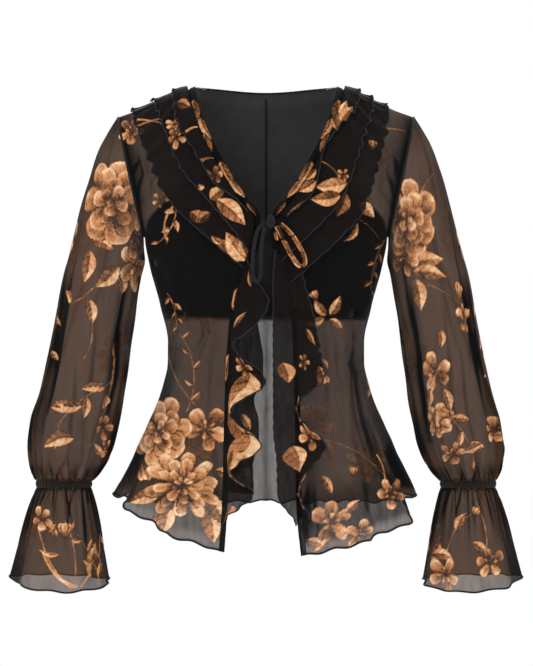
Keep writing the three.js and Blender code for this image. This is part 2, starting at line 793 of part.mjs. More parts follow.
// Flat layer under the folds, beside the front band.
function addCascadeUnder(side, rows) {
  const sheet = (u, v) => {
    const end = foldPlace(rows, v);
    const seamZ = THREE.MathUtils.lerp(rows[0].z, rows[rows.length - 1].z, v);
    const seam = cascadeSeam(side, seamZ, -2 * seamGap);
    const across = THREE.MathUtils.lerp(seam.across, end.across, u);
    return offBody(side, "front", across, THREE.MathUtils.lerp(seam.up, end.up, u), cascade.underLift);
  };
  const geometry = wallGeometry(sheet, grid.underAcross, grid.underAlong, ruffleWall);
  addMesh("cascade_under_" + sideName(side), geometry, looks.ruffle);
}

function addSleeve(side) {
  const last = sleeveRows.length - 1;
  const rows = sleeveRows.map((row, k) => ({ ...row, at: k / last }));
  const read = (v, column) => readRow(rows, "at", v, column);
  const sheet = (u, v) => {
    const turn = 2 * Math.PI * u;
    const outer = new THREE.Vector3(read(v, "outerX"), read(v, "shiftY"), read(v, "outerZ"));
    const inner = new THREE.Vector3(read(v, "innerX"), read(v, "shiftY"), read(v, "innerZ"));
    const depth = read(v, "depth");
    const gather = 1 + (read(v, "gather") * Math.cos(gathersRound * turn)) / depth;
    const point = outer.clone().add(inner).multiplyScalar(0.5);
    point.addScaledVector(outer.sub(inner), 0.5 * Math.cos(turn) * gather);
    point.y -= depth * Math.sin(turn) * gather;
    return new THREE.Vector3(side * point.x, point.y, point.z);
  };
  const geometry = wallGeometry(sheet, grid.sleeveRound, grid.sleeveAlong, bodyWall, true);
  addMesh("sleeve_" + sideName(side), geometry, looks.sleeve);
}

function addWrist(side) {
  const sheet = (u, v) => {
    const turn = 2 * Math.PI * u;
    const x = side * (wrist.x + wrist.half * Math.cos(turn));
    return new THREE.Vector3(x, wrist.y - wrist.depth * Math.sin(turn), wrist.z + wrist.height * (0.5 - v));
  };
  const geometry = wallGeometry(sheet, grid.wristRound, 1, wrist.wall, true);
  addMesh("wrist_casing_" + sideName(side), geometry, looks.band);
}

function addCuff(side) {
  const sheet = (u, v) => {
    const turn = 2 * Math.PI * u;
    const flare = v ** cuffHem.flare;
    const half = THREE.MathUtils.lerp(wrist.half, cuff.half, flare);
    const depth = THREE.MathUtils.lerp(wrist.depth, cuff.depth, flare);
    const ripple = 1 + (cuff.wave * v * Math.cos(cuff.waves * turn)) / depth;
    const x = THREE.MathUtils.lerp(wrist.x, cuff.x, v) + half * Math.cos(turn) * ripple;
    const y = THREE.MathUtils.lerp(wrist.y, cuff.y, v) - depth * Math.sin(turn) * ripple;
    const front = Math.max(Math.sin(turn), 0);
    const drop = cuffHem.innerSag * Math.sin(Math.PI * u) ** 2 + cuffHem.frontDrop * front;
    return new THREE.Vector3(side * x, y, THREE.MathUtils.lerp(cuff.topZ, cuff.hemZ, v) - v * drop);
  };
  const geometry = wallGeometry(sheet, grid.cuffRound, grid.cuffAlong, bodyWall, true);
  addMesh("cuff_" + sideName(side), geometry, looks.sleeve);
}

// Point in front of the body form at a place seen from the front.
function tiePoint(row, lift) {
  const side = row.x < 0 ? -1 : 1;
  const place = bodyPlace("front", Math.abs(row.x), row.z);
  const point = bodyPoint(side, "front", place.across, place.up);
  return new THREE.Vector3(row.x, point.y - lift, row.z);
}

// Flat strap along a line of points, its wide side to the front and its ends closed.
function strapGeometry(rows, wide, thick, lift, segments) {
  const curve = new THREE.CatmullRomCurve3(rows.map((row) => tiePoint(row, lift)), false, "centripetal");
  const round = 8;
  const positions = [];
  const front = new THREE.Vector3(0, -1, 0);
  for (let k = 0; k <= segments; k += 1) {
    const centre = curve.getPoint(k / segments);
    const tangent = curve.getTangent(k / segments);
    const across = tangent.clone().cross(front).normalize();
    const outward = across.clone().cross(tangent).normalize();
    for (let i = 0; i < round; i += 1) {
      const turn = (2 * Math.PI * i) / round;
      const point = centre.clone().addScaledVector(across, (wide / 2) * Math.cos(turn));
      point.addScaledVector(outward, (thick / 2) * Math.sin(turn));
      positions.push(point.x, point.y, point.z);
    }
  }
  const ends = [curve.getPoint(0), curve.getPoint(1)];
  ends.forEach((point) => positions.push(point.x, point.y, point.z));
  const triangles = [];
  const at = (i, k) => k * round + (i % round);
  for (let i = 0; i < round; i += 1) {
    for (let k = 0; k < segments; k += 1) {
      triangles.push(at(i, k), at(i + 1, k), at(i + 1, k + 1), at(i, k), at(i + 1, k + 1), at(i, k + 1));
    }
    triangles.push(at(i + 1, 0), at(i, 0), (segments + 1) * round);
    triangles.push(at(i, segments), at(i + 1, segments), (segments + 1) * round + 1);
  }
  if (signedVolume(positions, triangles) < 0) triangles.reverse();
  const geometry = new THREE.BufferGeometry();
  geometry.setAttribute("position", new THREE.Float32BufferAttribute(positions, 3));
  geometry.setIndex(triangles);
  geometry.computeVertexNormals();
  return geometry;
}

function addTie() {
  const knot = new THREE.SphereGeometry(0.5, 14, 9);
  knot.scale(tie.knot.wide, tie.knot.thick, tie.knot.high);
  const middle = tiePoint(tie.knot, tie.lift);
  knot.translate(middle.x, middle.y, middle.z);
  knot.deleteAttribute("uv");
  addMesh("tie_knot", knot, looks.tie);
  const left = strapGeometry(tie.loopLeft, tie.strapWide, tie.strapThick, tie.lift, grid.strapAlong);
  addMesh("tie_loop_left", left, looks.tie);
  const right = strapGeometry(tie.loopRight, tie.narrowWide, tie.strapThick, tie.lift, grid.strapAlong);
  addMesh("tie_loop_right", right, looks.binding);
  const tail = strapGeometry(tie.tailLeft, tie.narrowWide, tie.strapThick, tie.lift, grid.tailAlong);
  addMesh("tie_tail_left", tail, looks.tie);
}

[1, -1].forEach((side) => {
  addPanels(side);
  addBands(side);
  addCollar(side);
  addCascade(side);
  addSleeve(side);
  addWrist(side);
  addCuff(side);
});
addLining();
addBackBinding();
addTie();

export default garment;
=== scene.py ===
import bmesh
import bpy
import numpy as np
from math import pi, radians
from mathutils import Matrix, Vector


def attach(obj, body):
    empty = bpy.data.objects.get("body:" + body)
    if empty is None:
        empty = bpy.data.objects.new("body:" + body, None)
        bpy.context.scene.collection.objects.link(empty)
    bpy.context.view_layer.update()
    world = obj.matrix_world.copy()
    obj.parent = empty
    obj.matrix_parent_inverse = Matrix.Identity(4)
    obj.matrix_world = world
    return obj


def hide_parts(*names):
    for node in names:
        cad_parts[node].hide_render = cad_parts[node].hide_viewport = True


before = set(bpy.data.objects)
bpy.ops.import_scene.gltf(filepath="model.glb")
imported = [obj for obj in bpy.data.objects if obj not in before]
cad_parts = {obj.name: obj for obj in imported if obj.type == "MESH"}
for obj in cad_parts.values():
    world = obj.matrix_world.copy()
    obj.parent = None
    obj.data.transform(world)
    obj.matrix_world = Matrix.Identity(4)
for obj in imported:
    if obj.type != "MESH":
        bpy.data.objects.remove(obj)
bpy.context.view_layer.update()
print("frame loaded")


def named(columns, *rows):
    # one dictionary for each row: its values under the named columns, then what its closing dictionary adds
    made = []
    for row in rows:
        extra = row[-1] if isinstance(row[-1], dict) else {}
        made.append(dict(zip(columns.split(), row[:-1] if extra else row), **extra))
    return made


crease = "x0 z0 x1 z1 width depth"  # a table of creases; bow, dark and soft may be added
motif = "kind x z size lean wide shade"  # a table of motifs; bend, squash, leaves and leaf may be added

# lengths are in millimetres here and become metres when a mesh is made
# rough lengths down the pieces, and the body's half width and yoke
spans = dict(front=565, back=512, sleeve=460, cuff=124, cascade=420, under=275, underWide=34, half=150,
             yoke=180)
chestAt = dict(front=0.68, back=0.66, lining=0.36)  # share of a piece's rows up to the chest line
liningRows = 110
body = dict(chestZ=-185, shoulderX=182, shoulderDrop=38, neckX=87, underarmX=150, armDepth=55, neckRise=0.714,
            neckBow=0.55, power=2.3)

# half width of the outline, depth in front and behind, flute depth
torsoRows = named("z half front back flute",
    (-600, 214, 150, 146, 9), (-507, 188.5, 137, 133, 8), (-474, 172.5, 128, 126, 7),
    (-438, 155.7, 118, 116, 4.5), (-403, 140, 107, 103, 2.5), (-368, 127, 97, 91, 1.2),
    (-341, 122, 92, 85, 0.6), (-316, 122, 92, 84, 0.3), (-272, 130.5, 103, 90, 0), (-217, 145, 116, 101, 0),
    (-185, 150, 118, 106, 0),
)
# lower edge of the left front, the right front and the backs
hemRows = named("share left right back",
    (0, -574, -571, -522), (0.27, -569, -566, -522), (0.43, -562, -555, -522), (0.6, -553, -545, -521),
    (0.76, -545, -532, -520), (0.89, -533, -518, -516), (1, -506, -506, -506),
)
# front edge of each side from the hem to the shoulder
edgeRows = named("z right left",
    (-600, 51, 44), (-577, 50, 42), (-512, 46, 36), (-380, 43, 34), (-300, 38, 31), (-260, 32, 27),
    (-225, 21, 18), (-190, 6.5, 6.5), (-165, 7, 7), (-144, 22, 22), (-115, 41, 41), (-88, 56, 56),
    (-67, 67, 67), (-35, 79, 79), (0, 87, 87),
)


def readRows(rows, key, at, column):
    # piecewise cubic through the rows; a row's slope is the harmonic mean of its two sides, level at the ends
    rows = sorted(rows, key=lambda row: row[key])
    x = np.array([row[key] for row in rows], float)
    y = np.array([row[column] for row in rows], float)
    s = np.diff(y) / np.diff(x)
    around = np.where(s[:-1] + s[1:] == 0, 1, s[:-1] + s[1:])
    m = np.concatenate([[0], np.where(s[:-1] * s[1:] > 0, 2 * s[:-1] * s[1:] / around, 0), [0]])
    at = np.clip(np.asarray(at, float), x[0], x[-1])
    k = np.clip(np.searchsorted(x, at, side="right") - 1, 0, len(x) - 2)
    span = x[k + 1] - x[k]
    f = (at - x[k]) / span
    g = 1 - f
    ends = y[k] * g * g * (1 + 2 * f) + y[k + 1] * f * f * (3 - 2 * f)
    return ends + span * (m[k] * f * g * g - m[k + 1] * f * f * g)


def ramp(low, high, at):
    # 0 under low, 1 over high, smooth between
    f = np.clip((np.asarray(at, float) - low) / (high - low), 0, 1)
    return f * f * (3 - 2 * f)


def bell(distance, width):
    return np.exp(-((distance / width) ** 2))


def signPower(value, exponent):
    return np.sign(value) * np.abs(value) ** exponent


def lerp(a, b, f):
    return a + (b - a) * f


def shoulderZ(x):
    # straight fall outside the neck, a parabola over it
    slope = body["shoulderDrop"] / (body["shoulderX"] - body["neckX"])
    inside = slope * (body["neckX"] ** 2 - x**2) / (2 * body["neckX"])
    return np.where(x >= body["neckX"], -slope * (x - body["neckX"]), inside)


def hemHeight(side, face, share):
    return readRows(hemRows, "share", share, sideName(side) if face == "front" else face)


def bodyPoint(side, face, across, up):
    # superellipse rings under the chest line; above it quarter ellipses from the chest ring to the shoulder
    # line, turning to half ellipses at the armhole
    across, up = np.broadcast_arrays(np.asarray(across, float), np.asarray(up, float))
    towards = -1 if face == "front" else 1
    turn = pi / 2 * across
    wide = signPower(np.sin(turn), 2 / body["power"])
    deep = signPower(np.cos(turn), 2 / body["power"])
    chest = float(readRows(torsoRows, "z", body["chestZ"], face))
    hemZ = hemHeight(side, face, np.abs(wide))
    z = hemZ + (body["chestZ"] - hemZ) * np.minimum(up, 1)
    half = readRows(torsoRows, "z", z, "half")
    dip = readRows(torsoRows, "z", z, "flute") * (1 - np.cos(6 * pi * (1 - np.abs(across)))) / half
    lowY = towards * readRows(torsoRows, "z", z, face) * deep * (1 - dip)
    low = np.stack([side * half * wide * (1 - dip), lowY, z], -1)
    rise = np.clip(up - 1, 0, 1)
    shape = 2 if face == "front" else 2.6
    fall = (1 - np.minimum(np.sin(pi / 2 * rise), 1) ** shape) ** (1 / shape)
    middle = (1 - np.sin(pi / 4) ** shape) ** (1 / shape)
    top = shoulderZ(np.abs(across) * body["shoulderX"])
    edge = np.abs(across) ** 3
    climb = (1 - edge) * np.sin(pi / 2 * rise) + edge * (1 - np.cos(pi * rise)) / 2
    zHigh = body["chestZ"] + (top - body["chestZ"]) * climb
    armLine = np.minimum((zHigh - body["chestZ"]) / (-body["shoulderDrop"] - body["chestZ"]), 1)
    armX = lerp(body["underarmX"], body["shoulderX"], armLine)
    blend = ramp(0, 0.7, rise)
    halfway = 0.74 * chest + (body["armDepth"] - 0.74 * chest) * across**2
    depth = chest * deep * fall + (halfway - middle * chest * deep) * np.sin(pi * rise)
    high = np.stack([side * armX * ((1 - blend) * wide + blend * across), towards * depth, zHigh], -1)
    return np.where((up <= 1)[..., None], low, high)


def bodyNormal(side, face, across, up):
    # cross product of the two steps along the form
    step = 0.002
    across = np.minimum(np.asarray(across, float), 1) - step
    over = bodyPoint(side, face, np.minimum(across + 2 * step, 1), up) - bodyPoint(side, face, across, up)
    along = bodyPoint(side, face, across + step, np.minimum(up + step, 2))
    along = along - bodyPoint(side, face, across + step, np.maximum(up - step, 0))
    normal = np.cross(over, along) * side * (1 if face == "front" else -1)
    return normal / np.linalg.norm(normal, axis=-1, keepdims=True)


def offBody(side, face, across, up, lift):
    lift = np.asarray(lift, float)
    return bodyPoint(side, face, across, up) + bodyNormal(side, face, across, up) * lift[..., None]


def bodyPlace(face, x, z):
    # Newton steps from (x, z) back to the two parameters of the body form
    x, z = np.broadcast_arrays(np.asarray(x, float), np.asarray(z, float))
    across = x / 160
    start = 1 + 2 / pi * np.arcsin(np.clip((z - body["chestZ"]) / -body["chestZ"], 0, 0.98))
    up = np.where(z > body["chestZ"], start, 0.7)
    step = 1e-4
    for turn in range(30):
        here = bodyPoint(1, face, across, up)
        a = (bodyPoint(1, face, across + step, up) - here) / step
        b = (bodyPoint(1, face, across, up - step) - here) / -step
        dx, dz = x - here[..., 0], z - here[..., 2]
        size = a[..., 0] * b[..., 2] - a[..., 2] * b[..., 0]
        across = np.clip(across + np.clip((dx * b[..., 2] - dz * b[..., 0]) / size, -0.2, 0.2), -0.6, 0.998)
        up = np.clip(up + np.clip((a[..., 0] * dz - a[..., 2] * dx) / size, -0.2, 0.2), 0.001, 1.97)
    return across, up


def searchInside(low, high, turns, isInside):
    # halves the span again and again and keeps the last place that is still inside
    for turn in range(turns):
        middle = (low + high) / 2
        inside = isInside(middle)
        low, high = np.where(inside, middle, low), np.where(inside, high, middle)
    return low


def edgeAcross(side, up, width):
    # the place where the front edge, moved out by a width, crosses a height step
    column = sideName(side)
    up, width = np.broadcast_arrays(np.asarray(up, float), np.asarray(width, float))

    def isInside(across):
        point = bodyPoint(1, "front", across, up)
        z = point[..., 2]
        slope = readRows(edgeRows, "z", z - 3, column) - readRows(edgeRows, "z", z + 3, column)
        edge = readRows(edgeRows, "z", z, column) + width * np.hypot(1, slope / 6)
        return point[..., 0] < edge

    return searchInside(np.zeros(up.shape), np.full(up.shape, 0.98), 26, isInside)


def gridOf(across, along):
    return np.meshgrid(np.linspace(0, 1, across + 1), np.linspace(0, 1, along + 1))


def roundGrid(around, along):
    # grid of a tube: the turn round it in radians, without the last column, which is the first, and the run
    u, v = gridOf(around, along)
    return 2 * pi * u[:, :-1], v[:, :-1]


def sideName(side):
    return "left" if side > 0 else "right"


# shader helpers
class Wire:
    def __init__(self, tree, socket):
        self.tree, self.socket = tree, socket

    def math(self, kind, *others, flip=False):
        node = self.tree.nodes.new("ShaderNodeMath")
        node.operation = kind
        values = [self, *others]
        for socket, value in zip(node.inputs, values[::-1] if flip else values):
            plug(self.tree, socket, value)
        return Wire(self.tree, node.outputs[0])

    def __add__(self, other):
        return self.math("ADD", other)

    def __sub__(self, other):
        return self.math("SUBTRACT", other)

    def __rsub__(self, other):
        return self.math("SUBTRACT", other, flip=True)

    def __mul__(self, other):
        return self.math("MULTIPLY", other)

    __radd__, __rmul__ = __add__, __mul__


def plug(tree, socket, value):
    if isinstance(value, Wire):
        tree.links.new(value.socket, socket)
    else:
        socket.default_value = value


class Shader:
    def __init__(self, name, roughness=0.8, sheen=0.0):
        self.material = bpy.data.materials.new(name)
        self.material.use_nodes = True
        self.tree = self.material.node_tree
        self.main = self.tree.nodes["Principled BSDF"]
        self.main.inputs["Roughness"].default_value = roughness
        self.main.inputs["Specular IOR Level"].default_value = 0.06
        self.main.inputs["Sheen Weight"].default_value = sheen
        self.main.inputs["Sheen Roughness"].default_value = 0.5

    def add(self, kind, settings=None, values=None, output=0):
        node = self.tree.nodes.new(kind)
        for key, value in (settings or {}).items():
            setattr(node, key, value)
        for key, value in (values or {}).items():
            plug(self.tree, node.inputs[key], value)
        return Wire(self.tree, node.outputs[output])

    def attribute(self, name):
        return self.add("ShaderNodeAttribute", dict(attribute_name=name), output="Fac")

    def coords(self):
        return self.add("ShaderNodeTexCoord", output="Object")

    def noise(self, where, scale, detail=2.0):
        return self.add("ShaderNodeTexNoise", values={"Vector": where, "Scale": scale, "Detail": detail})

    def smooth(self, value, low, high):
        values = {"Value": value, "From Min": low, "From Max": high}
        return self.add("ShaderNodeMapRange", dict(interpolation_type="SMOOTHSTEP"), values)

    def mix(self, factor, a, b):
        node = self.tree.nodes.new("ShaderNodeMix")
        node.data_type = "RGBA"
        for socket, value in ((node.inputs[0], factor), (node.inputs[6], a), (node.inputs[7], b)):
            plug(self.tree, socket, value)
        return Wire(self.tree, node.outputs[2])

    def bump(self, height, strength, distance):
        values = {"Height": height, "Strength": strength, "Distance": distance}
        return self.add("ShaderNodeBump", values=values)

    def feed(self, **values):
        for key, value in values.items():
            plug(self.tree, self.main.inputs[key.replace("_", " ")], value)
        return self.material


print("helpers ready")

# print: every motif is drawn by rule on a piece's own plane, in millimetres
petalRing = "start petals long wide tip"  # start, length and width as shares of the flower's size
blooms = dict(
    peony=named(
        petalRing, (0.26, 7, 0.76, 0.42, 0.42), (0.18, 6, 0.62, 0.38, 0.42), (0.1, 5, 0.48, 0.3, 0.45),
        (0.03, 4, 0.32, 0.2, 0.5), (0, 3, 0.18, 0.12, 0.5)),
    dahlia=named(
        petalRing, (0.24, 10, 0.8, 0.27, 0.5), (0.18, 9, 0.64, 0.24, 0.5), (0.1, 8, 0.46, 0.19, 0.55),
        (0, 8, 0.3, 0.1, 0.7)),
    blossom=named(petalRing, (0.1, 5, 0.92, 0.46, 0.45), (0.04, 5, 0.42, 0.16, 0.6), (0, 3, 0.2, 0.1, 0.6)),
)


class Print:
    def __init__(self, x, z, seed):
        self.x, self.z = x, z
        self.ink = np.full(x.shape, -4.0)  # millimetres inside a motif, negative outside
        self.tone = np.full(x.shape, 0.3)
        self.random = np.random.default_rng(seed)

    def lay(self, near, inside, tone):
        # newest shape on top; a narrow skirt outside carries its tone so that edges stay clean
        old = self.ink[near]
        take = (inside > 0) | ((inside > -2.2) & (old < inside))
        held = self.tone[near]
        held[take] = np.clip(tone, 0, 1)[take]
        self.tone[near] = held
        self.ink[near] = np.maximum(old, inside)

    def place(self, x, z, length, turn, margin=4):
        # the points near a shape, and where they lie along and across its axis
        near = (self.x - x) ** 2 + (self.z - z) ** 2 < (length + margin) ** 2
        dx, dz = self.x[near] - x, self.z[near] - z
        c, s = np.cos(turn), np.sin(turn)
        return near, dx * c + dz * s, -dx * s + dz * c

    def petal(self, x, z, length, width, turn, shade=0.0, tip=0.6):
        # a blade along its axis: half width = width * s^tip * sqrt(1 - s^4), tone rises from root to rim
        near, along, across = self.place(x, z, length, turn)
        along, across = along / length, across / width
        t = np.clip(along, 0, 1)
        wave = 1 + 0.06 * np.sin(9 * across + 5 * turn)
        reach = t**tip * np.sqrt(np.clip(1 - t**4, 0, 1)) * wave
        inside = np.minimum((reach - np.abs(across)) * width, np.minimum(along, 1.02 - along) * length + 0.4)
        streak = 0.12 * np.sin(across * 9 + 3 * turn) * (1 - 0.6 * t)
        streak = streak - 0.3 * (np.cos(across * 17 + turn) > 0.8) * (1 - t) ** 2
        depth = np.clip(inside, 0, 9)
        rim = 0.2 * bell(depth - 2.8, 1.8) * t - 0.55 * bell(depth, 0.9)
        tone = 0.12 + 0.62 * t**1.1 + rim + streak + shade + 0.14 * across * np.sign(np.cos(turn))
        self.lay(near, inside, tone)

    def leaf(self, x, z, length, width, turn, bend=0.0, shade=0.0):
        # pointed blade: half width = width * sin(pi s^0.8), bowed by bend, veins as thin dark lines
        near, along, across = self.place(x, z, length, turn)
        along = along / length
        t = np.clip(along, 0, 1)
        across = across - bend * length * 4 * t * (1 - t)
        ends = np.minimum(along, 1 - along) * length + 0.3
        inside = np.minimum(width * np.sin(pi * t**0.8) - np.abs(across), ends)
        veins = 0.28 * bell(across, 0.9)
        veins = veins + 0.16 * (np.cos(2 * pi * (t * 5 - np.abs(across) / width * 0.9)) > 0.72)
        rim = 0.4 * bell(np.clip(inside, 0, 9), 0.8)
        self.lay(near, inside, 0.46 + 0.24 * np.sign(across) + 0.3 * t - veins - rim + shade)

    def stem(self, x, z, length, turn, bend, wide=1.1, shade=0.0):
        # thin stroke along a parabola
        near, along, across = self.place(x, z, length, turn, 6)
        along = along / length
        t = np.clip(along, 0, 1)
        across = across - bend * length * 4 * t * (1 - t)
        inside = np.minimum(wide * (1.15 - 0.5 * t) - np.abs(across), np.minimum(along, 1 - along) * length)
        self.lay(near, inside, np.full(t.shape, 0.42 + shade))

    def bloom(self, x, z, size, rings, squash=1.0, lean=0.0, shade=0.0):
        # rings of petals from the outside in, each petal's turn, size and tint drawn at random
        keepX, keepZ = self.x, self.z
        c, s = np.cos(lean), np.sin(lean)
        dx, dz = keepX - x, keepZ - z
        self.x, self.z = dx * c + dz * s, (-dx * s + dz * c) / squash
        for k, ring in enumerate(rings):
            first = self.random.uniform(0, 2 * pi)
            for n in range(ring["petals"]):
                turn = first + 2 * pi * (n + self.random.uniform(-0.18, 0.18)) / ring["petals"]
                long = ring["long"] * size * self.random.uniform(0.86, 1.1)
                wide = ring["wide"] * size * self.random.uniform(0.85, 1.15)
                px, pz = ring["start"] * size * np.cos(turn), ring["start"] * size * np.sin(turn)
                tint = shade + self.random.uniform(-0.24, 0.2) - 0.02 * k
                self.petal(px, pz, long, wide, turn, tint, ring["tip"])
        self.x, self.z = keepX, keepZ

    def bud(self, x, z, size, turn, shade=0.0):
        for side in (-1, 1, 0):
            self.petal(x, z, size, 0.34 * size, turn + 0.32 * side, shade + 0.08 * (side == 0), 0.6)

    def sprig(self, x, z, length, turn, bend, leaves=5, size=14, shade=0.0):
        # a bowed stem with leaves to both sides
        self.stem(x, z, length, turn, bend, 0.9, shade)
        for n in range(leaves):
            t = (n + 0.6) / leaves
            c, s = np.cos(turn), np.sin(turn)
            along, across = t * length, bend * length * 4 * t * (1 - t)
            side = 1 if n % 2 else -1
            px, pz = x + along * c - across * s, z + along * s + across * c
            spread = self.random.uniform(0.5, 0.95)
            long = size * self.random.uniform(0.8, 1.2) * (1.1 - 0.4 * t)
            self.leaf(px, pz, long, 0.23 * long, turn + side * spread, 0.05 * side, shade)

    def draw(self, rows):
        # rows name a motif, its place, size and lean in degrees
        for row in rows:
            kind, x, z, size = row["kind"], row["x"], row["z"], row["size"]
            lean, shade = radians(row.get("lean", 0)), row.get("shade", 0.0)
            if kind in blooms:
                self.bloom(x, z, size, blooms[kind], row.get("squash", 1.0), lean, shade)
            elif kind == "leaf":
                self.leaf(x, z, size, row.get("wide", 0.23) * size, lean, row.get("bend", 0.06), shade)
            elif kind == "bud":
                self.bud(x, z, size, lean, shade)
            elif kind == "stem":
                self.stem(x, z, size, lean, row.get("bend", 0.1), row.get("wide", 1.0), shade)
            else:
                leaves, leaf = row.get("leaves", 5), row.get("leaf", 14)
                self.sprig(x, z, size, lean, row.get("bend", 0.12), leaves, leaf, shade)
        return dict(ink=self.ink, tone=self.tone)


# mesh makers
def makeMesh(name, points, faces, smooth=True):
    # points in millimetres, faces as rows of point numbers
    mesh = bpy.data.meshes.new(name)
    mesh.vertices.add(len(points))
    mesh.vertices.foreach_set("co", (np.asarray(points) * 0.001).ravel())
    mesh.loops.add(faces.size)
    mesh.loops.foreach_set("vertex_index", faces.ravel())
    mesh.polygons.add(len(faces))
    mesh.polygons.foreach_set("loop_start", np.arange(len(faces)) * faces.shape[1])
    mesh.polygons.foreach_set("use_smooth", np.full(len(faces), smooth))
    mesh.update()
    obj = bpy.data.objects.new(name, mesh)
    bpy.context.scene.collection.objects.link(obj)
    return obj


def makeSheet(name, points, material, values=None, closed=False, flip=False):
    # quads over a grid of points, attributes stored on its vertices
    rows, columns = points.shape[:2]
    index = np.arange(rows * columns).reshape(rows, columns)
    if closed:
        index = np.concatenate([index, index[:, :1]], 1)
    faces = np.stack([index[:-1, :-1], index[:-1, 1:], index[1:, 1:], index[1:, :-1]], -1).reshape(-1, 4)
    obj = makeMesh(name, points.reshape(-1, 3), faces[:, ::-1] if flip else faces)
    for key, value in (values or {}).items():
        data = obj.data.attributes.new(key, "FLOAT", "POINT")
        data.data.foreach_set("value", np.asarray(value, np.float32).ravel())
    obj.data.materials.append(material)
    return obj


def tubePoints(path, radius, closed=False, sides=6, flat=1.0, up=(0, -1, 0)):
    # ring of points round each point of a path; flat squeezes the ring in the up direction
    ahead = np.roll(path, -1, 0) - np.roll(path, 1, 0)
    if not closed:
        ahead[0], ahead[-1] = path[1] - path[0], path[-1] - path[-2]
    ahead = ahead / np.linalg.norm(ahead, axis=1, keepdims=True)
    over = np.cross(ahead, np.array(up, float))
    over = over / np.maximum(np.linalg.norm(over, axis=1, keepdims=True), 1e-6)
    out = np.cross(over, ahead)
    turn = np.linspace(0, 2 * pi, sides, endpoint=False)
    ring = over[:, None] * np.cos(turn)[None, :, None] + flat * out[:, None] * np.sin(turn)[None, :, None]
    points = path[:, None] + radius * ring
    if closed:
        return np.concatenate([points, points[:1]], 0)
    return np.concatenate([path[:1, None].repeat(sides, 1), points, path[-1:, None].repeat(sides, 1)], 0)


def makeTube(name, path, radius, material, closed=False, up=(0, -1, 0)):
    return makeSheet(name, tubePoints(path, radius, closed, up=up), material, closed=True)


def gridArea(points):
    # half the two cross products at each quad, in square metres
    a = np.cross(points[1:, :-1] - points[:-1, :-1], points[:-1, 1:] - points[:-1, :-1])
    b = np.cross(points[1:, :-1] - points[1:, 1:], points[:-1, 1:] - points[1:, 1:])
    return 0.5 * (np.linalg.norm(a, axis=-1).sum() + np.linalg.norm(b, axis=-1).sum()) * 1e-6


def pathLength(path):
    return np.linalg.norm(np.diff(path, axis=0), axis=1).sum() * 0.001


def dress(node, slot, obj, trims=(), trimSlot="binding_cloth"):
    # the piece stands for its solid and rides with its sewing on the garment's one body
    for part, name in [(obj, slot), *((trim, trimSlot) for trim in trims)]:
        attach(part, "root")
    if node:
        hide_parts(node)


def declareSheet(points, closed=False, withPieces=()):
    # the flat cut: mean length of its rows and of its columns, and the area that the cloth has
    ring = np.concatenate([points, points[:, :1]], 1) if closed else points
    width = np.mean([pathLength(ring[k]) for k in range(0, len(ring), max(1, len(ring) // 24))])
    length = np.mean([pathLength(ring[:, k]) for k in range(0, ring.shape[1], max(1, ring.shape[1] // 24))])
    area = min(max(gridArea(ring), 0.31 * width * length), width * length)


print("makers ready")

# cloth materials
inkColours = dict(
    dark=(0.035, 0.014, 0.007, 1),
    brown=(0.22, 0.085, 0.03, 1),
    copper=(0.56, 0.24, 0.09, 1),
    light=(0.88, 0.58, 0.34, 1),
)
doubledAndShade = (0.0027, 0.0026, 0.0026, 1)  # cloth over cloth in seams and pinched folds, and painted shade in troughs, gathers and along the sides
looks = dict(
    sheer=dict(alpha=0.83, inkAlpha=0.95, cloth=(0.043, 0.0205, 0.0104, 1), grain=0.1, inkGain=1.0),
    sleeve=dict(alpha=0.815, inkAlpha=0.93, cloth=(0.06, 0.0272, 0.0126, 1), grain=0.14, inkGain=0.96),
    ruffle=dict(alpha=0.93, inkAlpha=0.97, cloth=(0.0062, 0.0044, 0.0039, 1), grain=0.06, inkGain=0.85),
    band=dict(alpha=0.97, inkAlpha=0.99, cloth=(0.012, 0.0075, 0.0062, 1), grain=0.03, inkGain=0.85),
)


def printedCloth(name, alpha, inkAlpha, cloth, grain, inkGain):
    # cloth under the ink, whose edge is frayed and whose tone is broken by noise; the third attribute shows
    # doubled cloth and painted shade, darker and less open; smoke and weave vary how open the cloth is
    s = Shader(name, roughness=0.85, sheen=0.02)
    where = s.coords()
    ink, tone, thick = s.attribute("ink"), s.attribute("tone"), s.attribute("thick")
    mask = s.smooth(ink + (s.noise(where, 650) - 0.5) * 2.0, -0.3, 0.6)
    shade = tone * inkGain + (s.noise(where, 70, 3) - 0.5) * 0.7 + (s.noise(where, 380, 3) - 0.5) * 0.6
    shadow = s.mix(s.smooth(shade, 0.05, 0.36), inkColours["dark"], inkColours["brown"])
    middle = s.mix(s.smooth(shade, 0.3, 0.64), shadow, inkColours["copper"])
    painted = s.mix(s.smooth(shade, 0.6, 1.0), middle, inkColours["light"])
    stretched = s.add("ShaderNodeVectorMath", dict(operation="MULTIPLY"), {0: where, 1: (150, 150, 26)})
    smoke = s.noise(stretched, 1.0, 3.0)
    weave = s.noise(where, 1500, 1)
    clear = alpha + (smoke - 0.5) * 0.14 + (weave - 0.5) * grain + thick * (1 - alpha) * 0.85
    wash = 0.82 + (s.noise(where, 110, 2) - 0.5) * 0.7
    opacity = clear + mask * wash * (inkAlpha - clear)
    bump = s.bump(s.noise(where, 900, 2), 0.25, 0.0006)
    under = s.mix(thick, cloth, doubledAndShade)
    colour = s.mix(mask * wash, under, painted)
    return s.feed(Base_Color=colour, Alpha=opacity.math("MINIMUM", 0.995), Normal=bump)


def plainCloth(name, colour, roughness=0.85, scale=900, strength=0.3, sheen=0.1):
    s = Shader(name, roughness, sheen)
    where = s.coords()
    tint = s.mix(s.noise(where, 60), colour, tuple(1.5 * c for c in colour[:3]) + (1,))
    return s.feed(Base_Color=tint, Normal=s.bump(s.noise(where, scale, 2), strength, 0.0006))


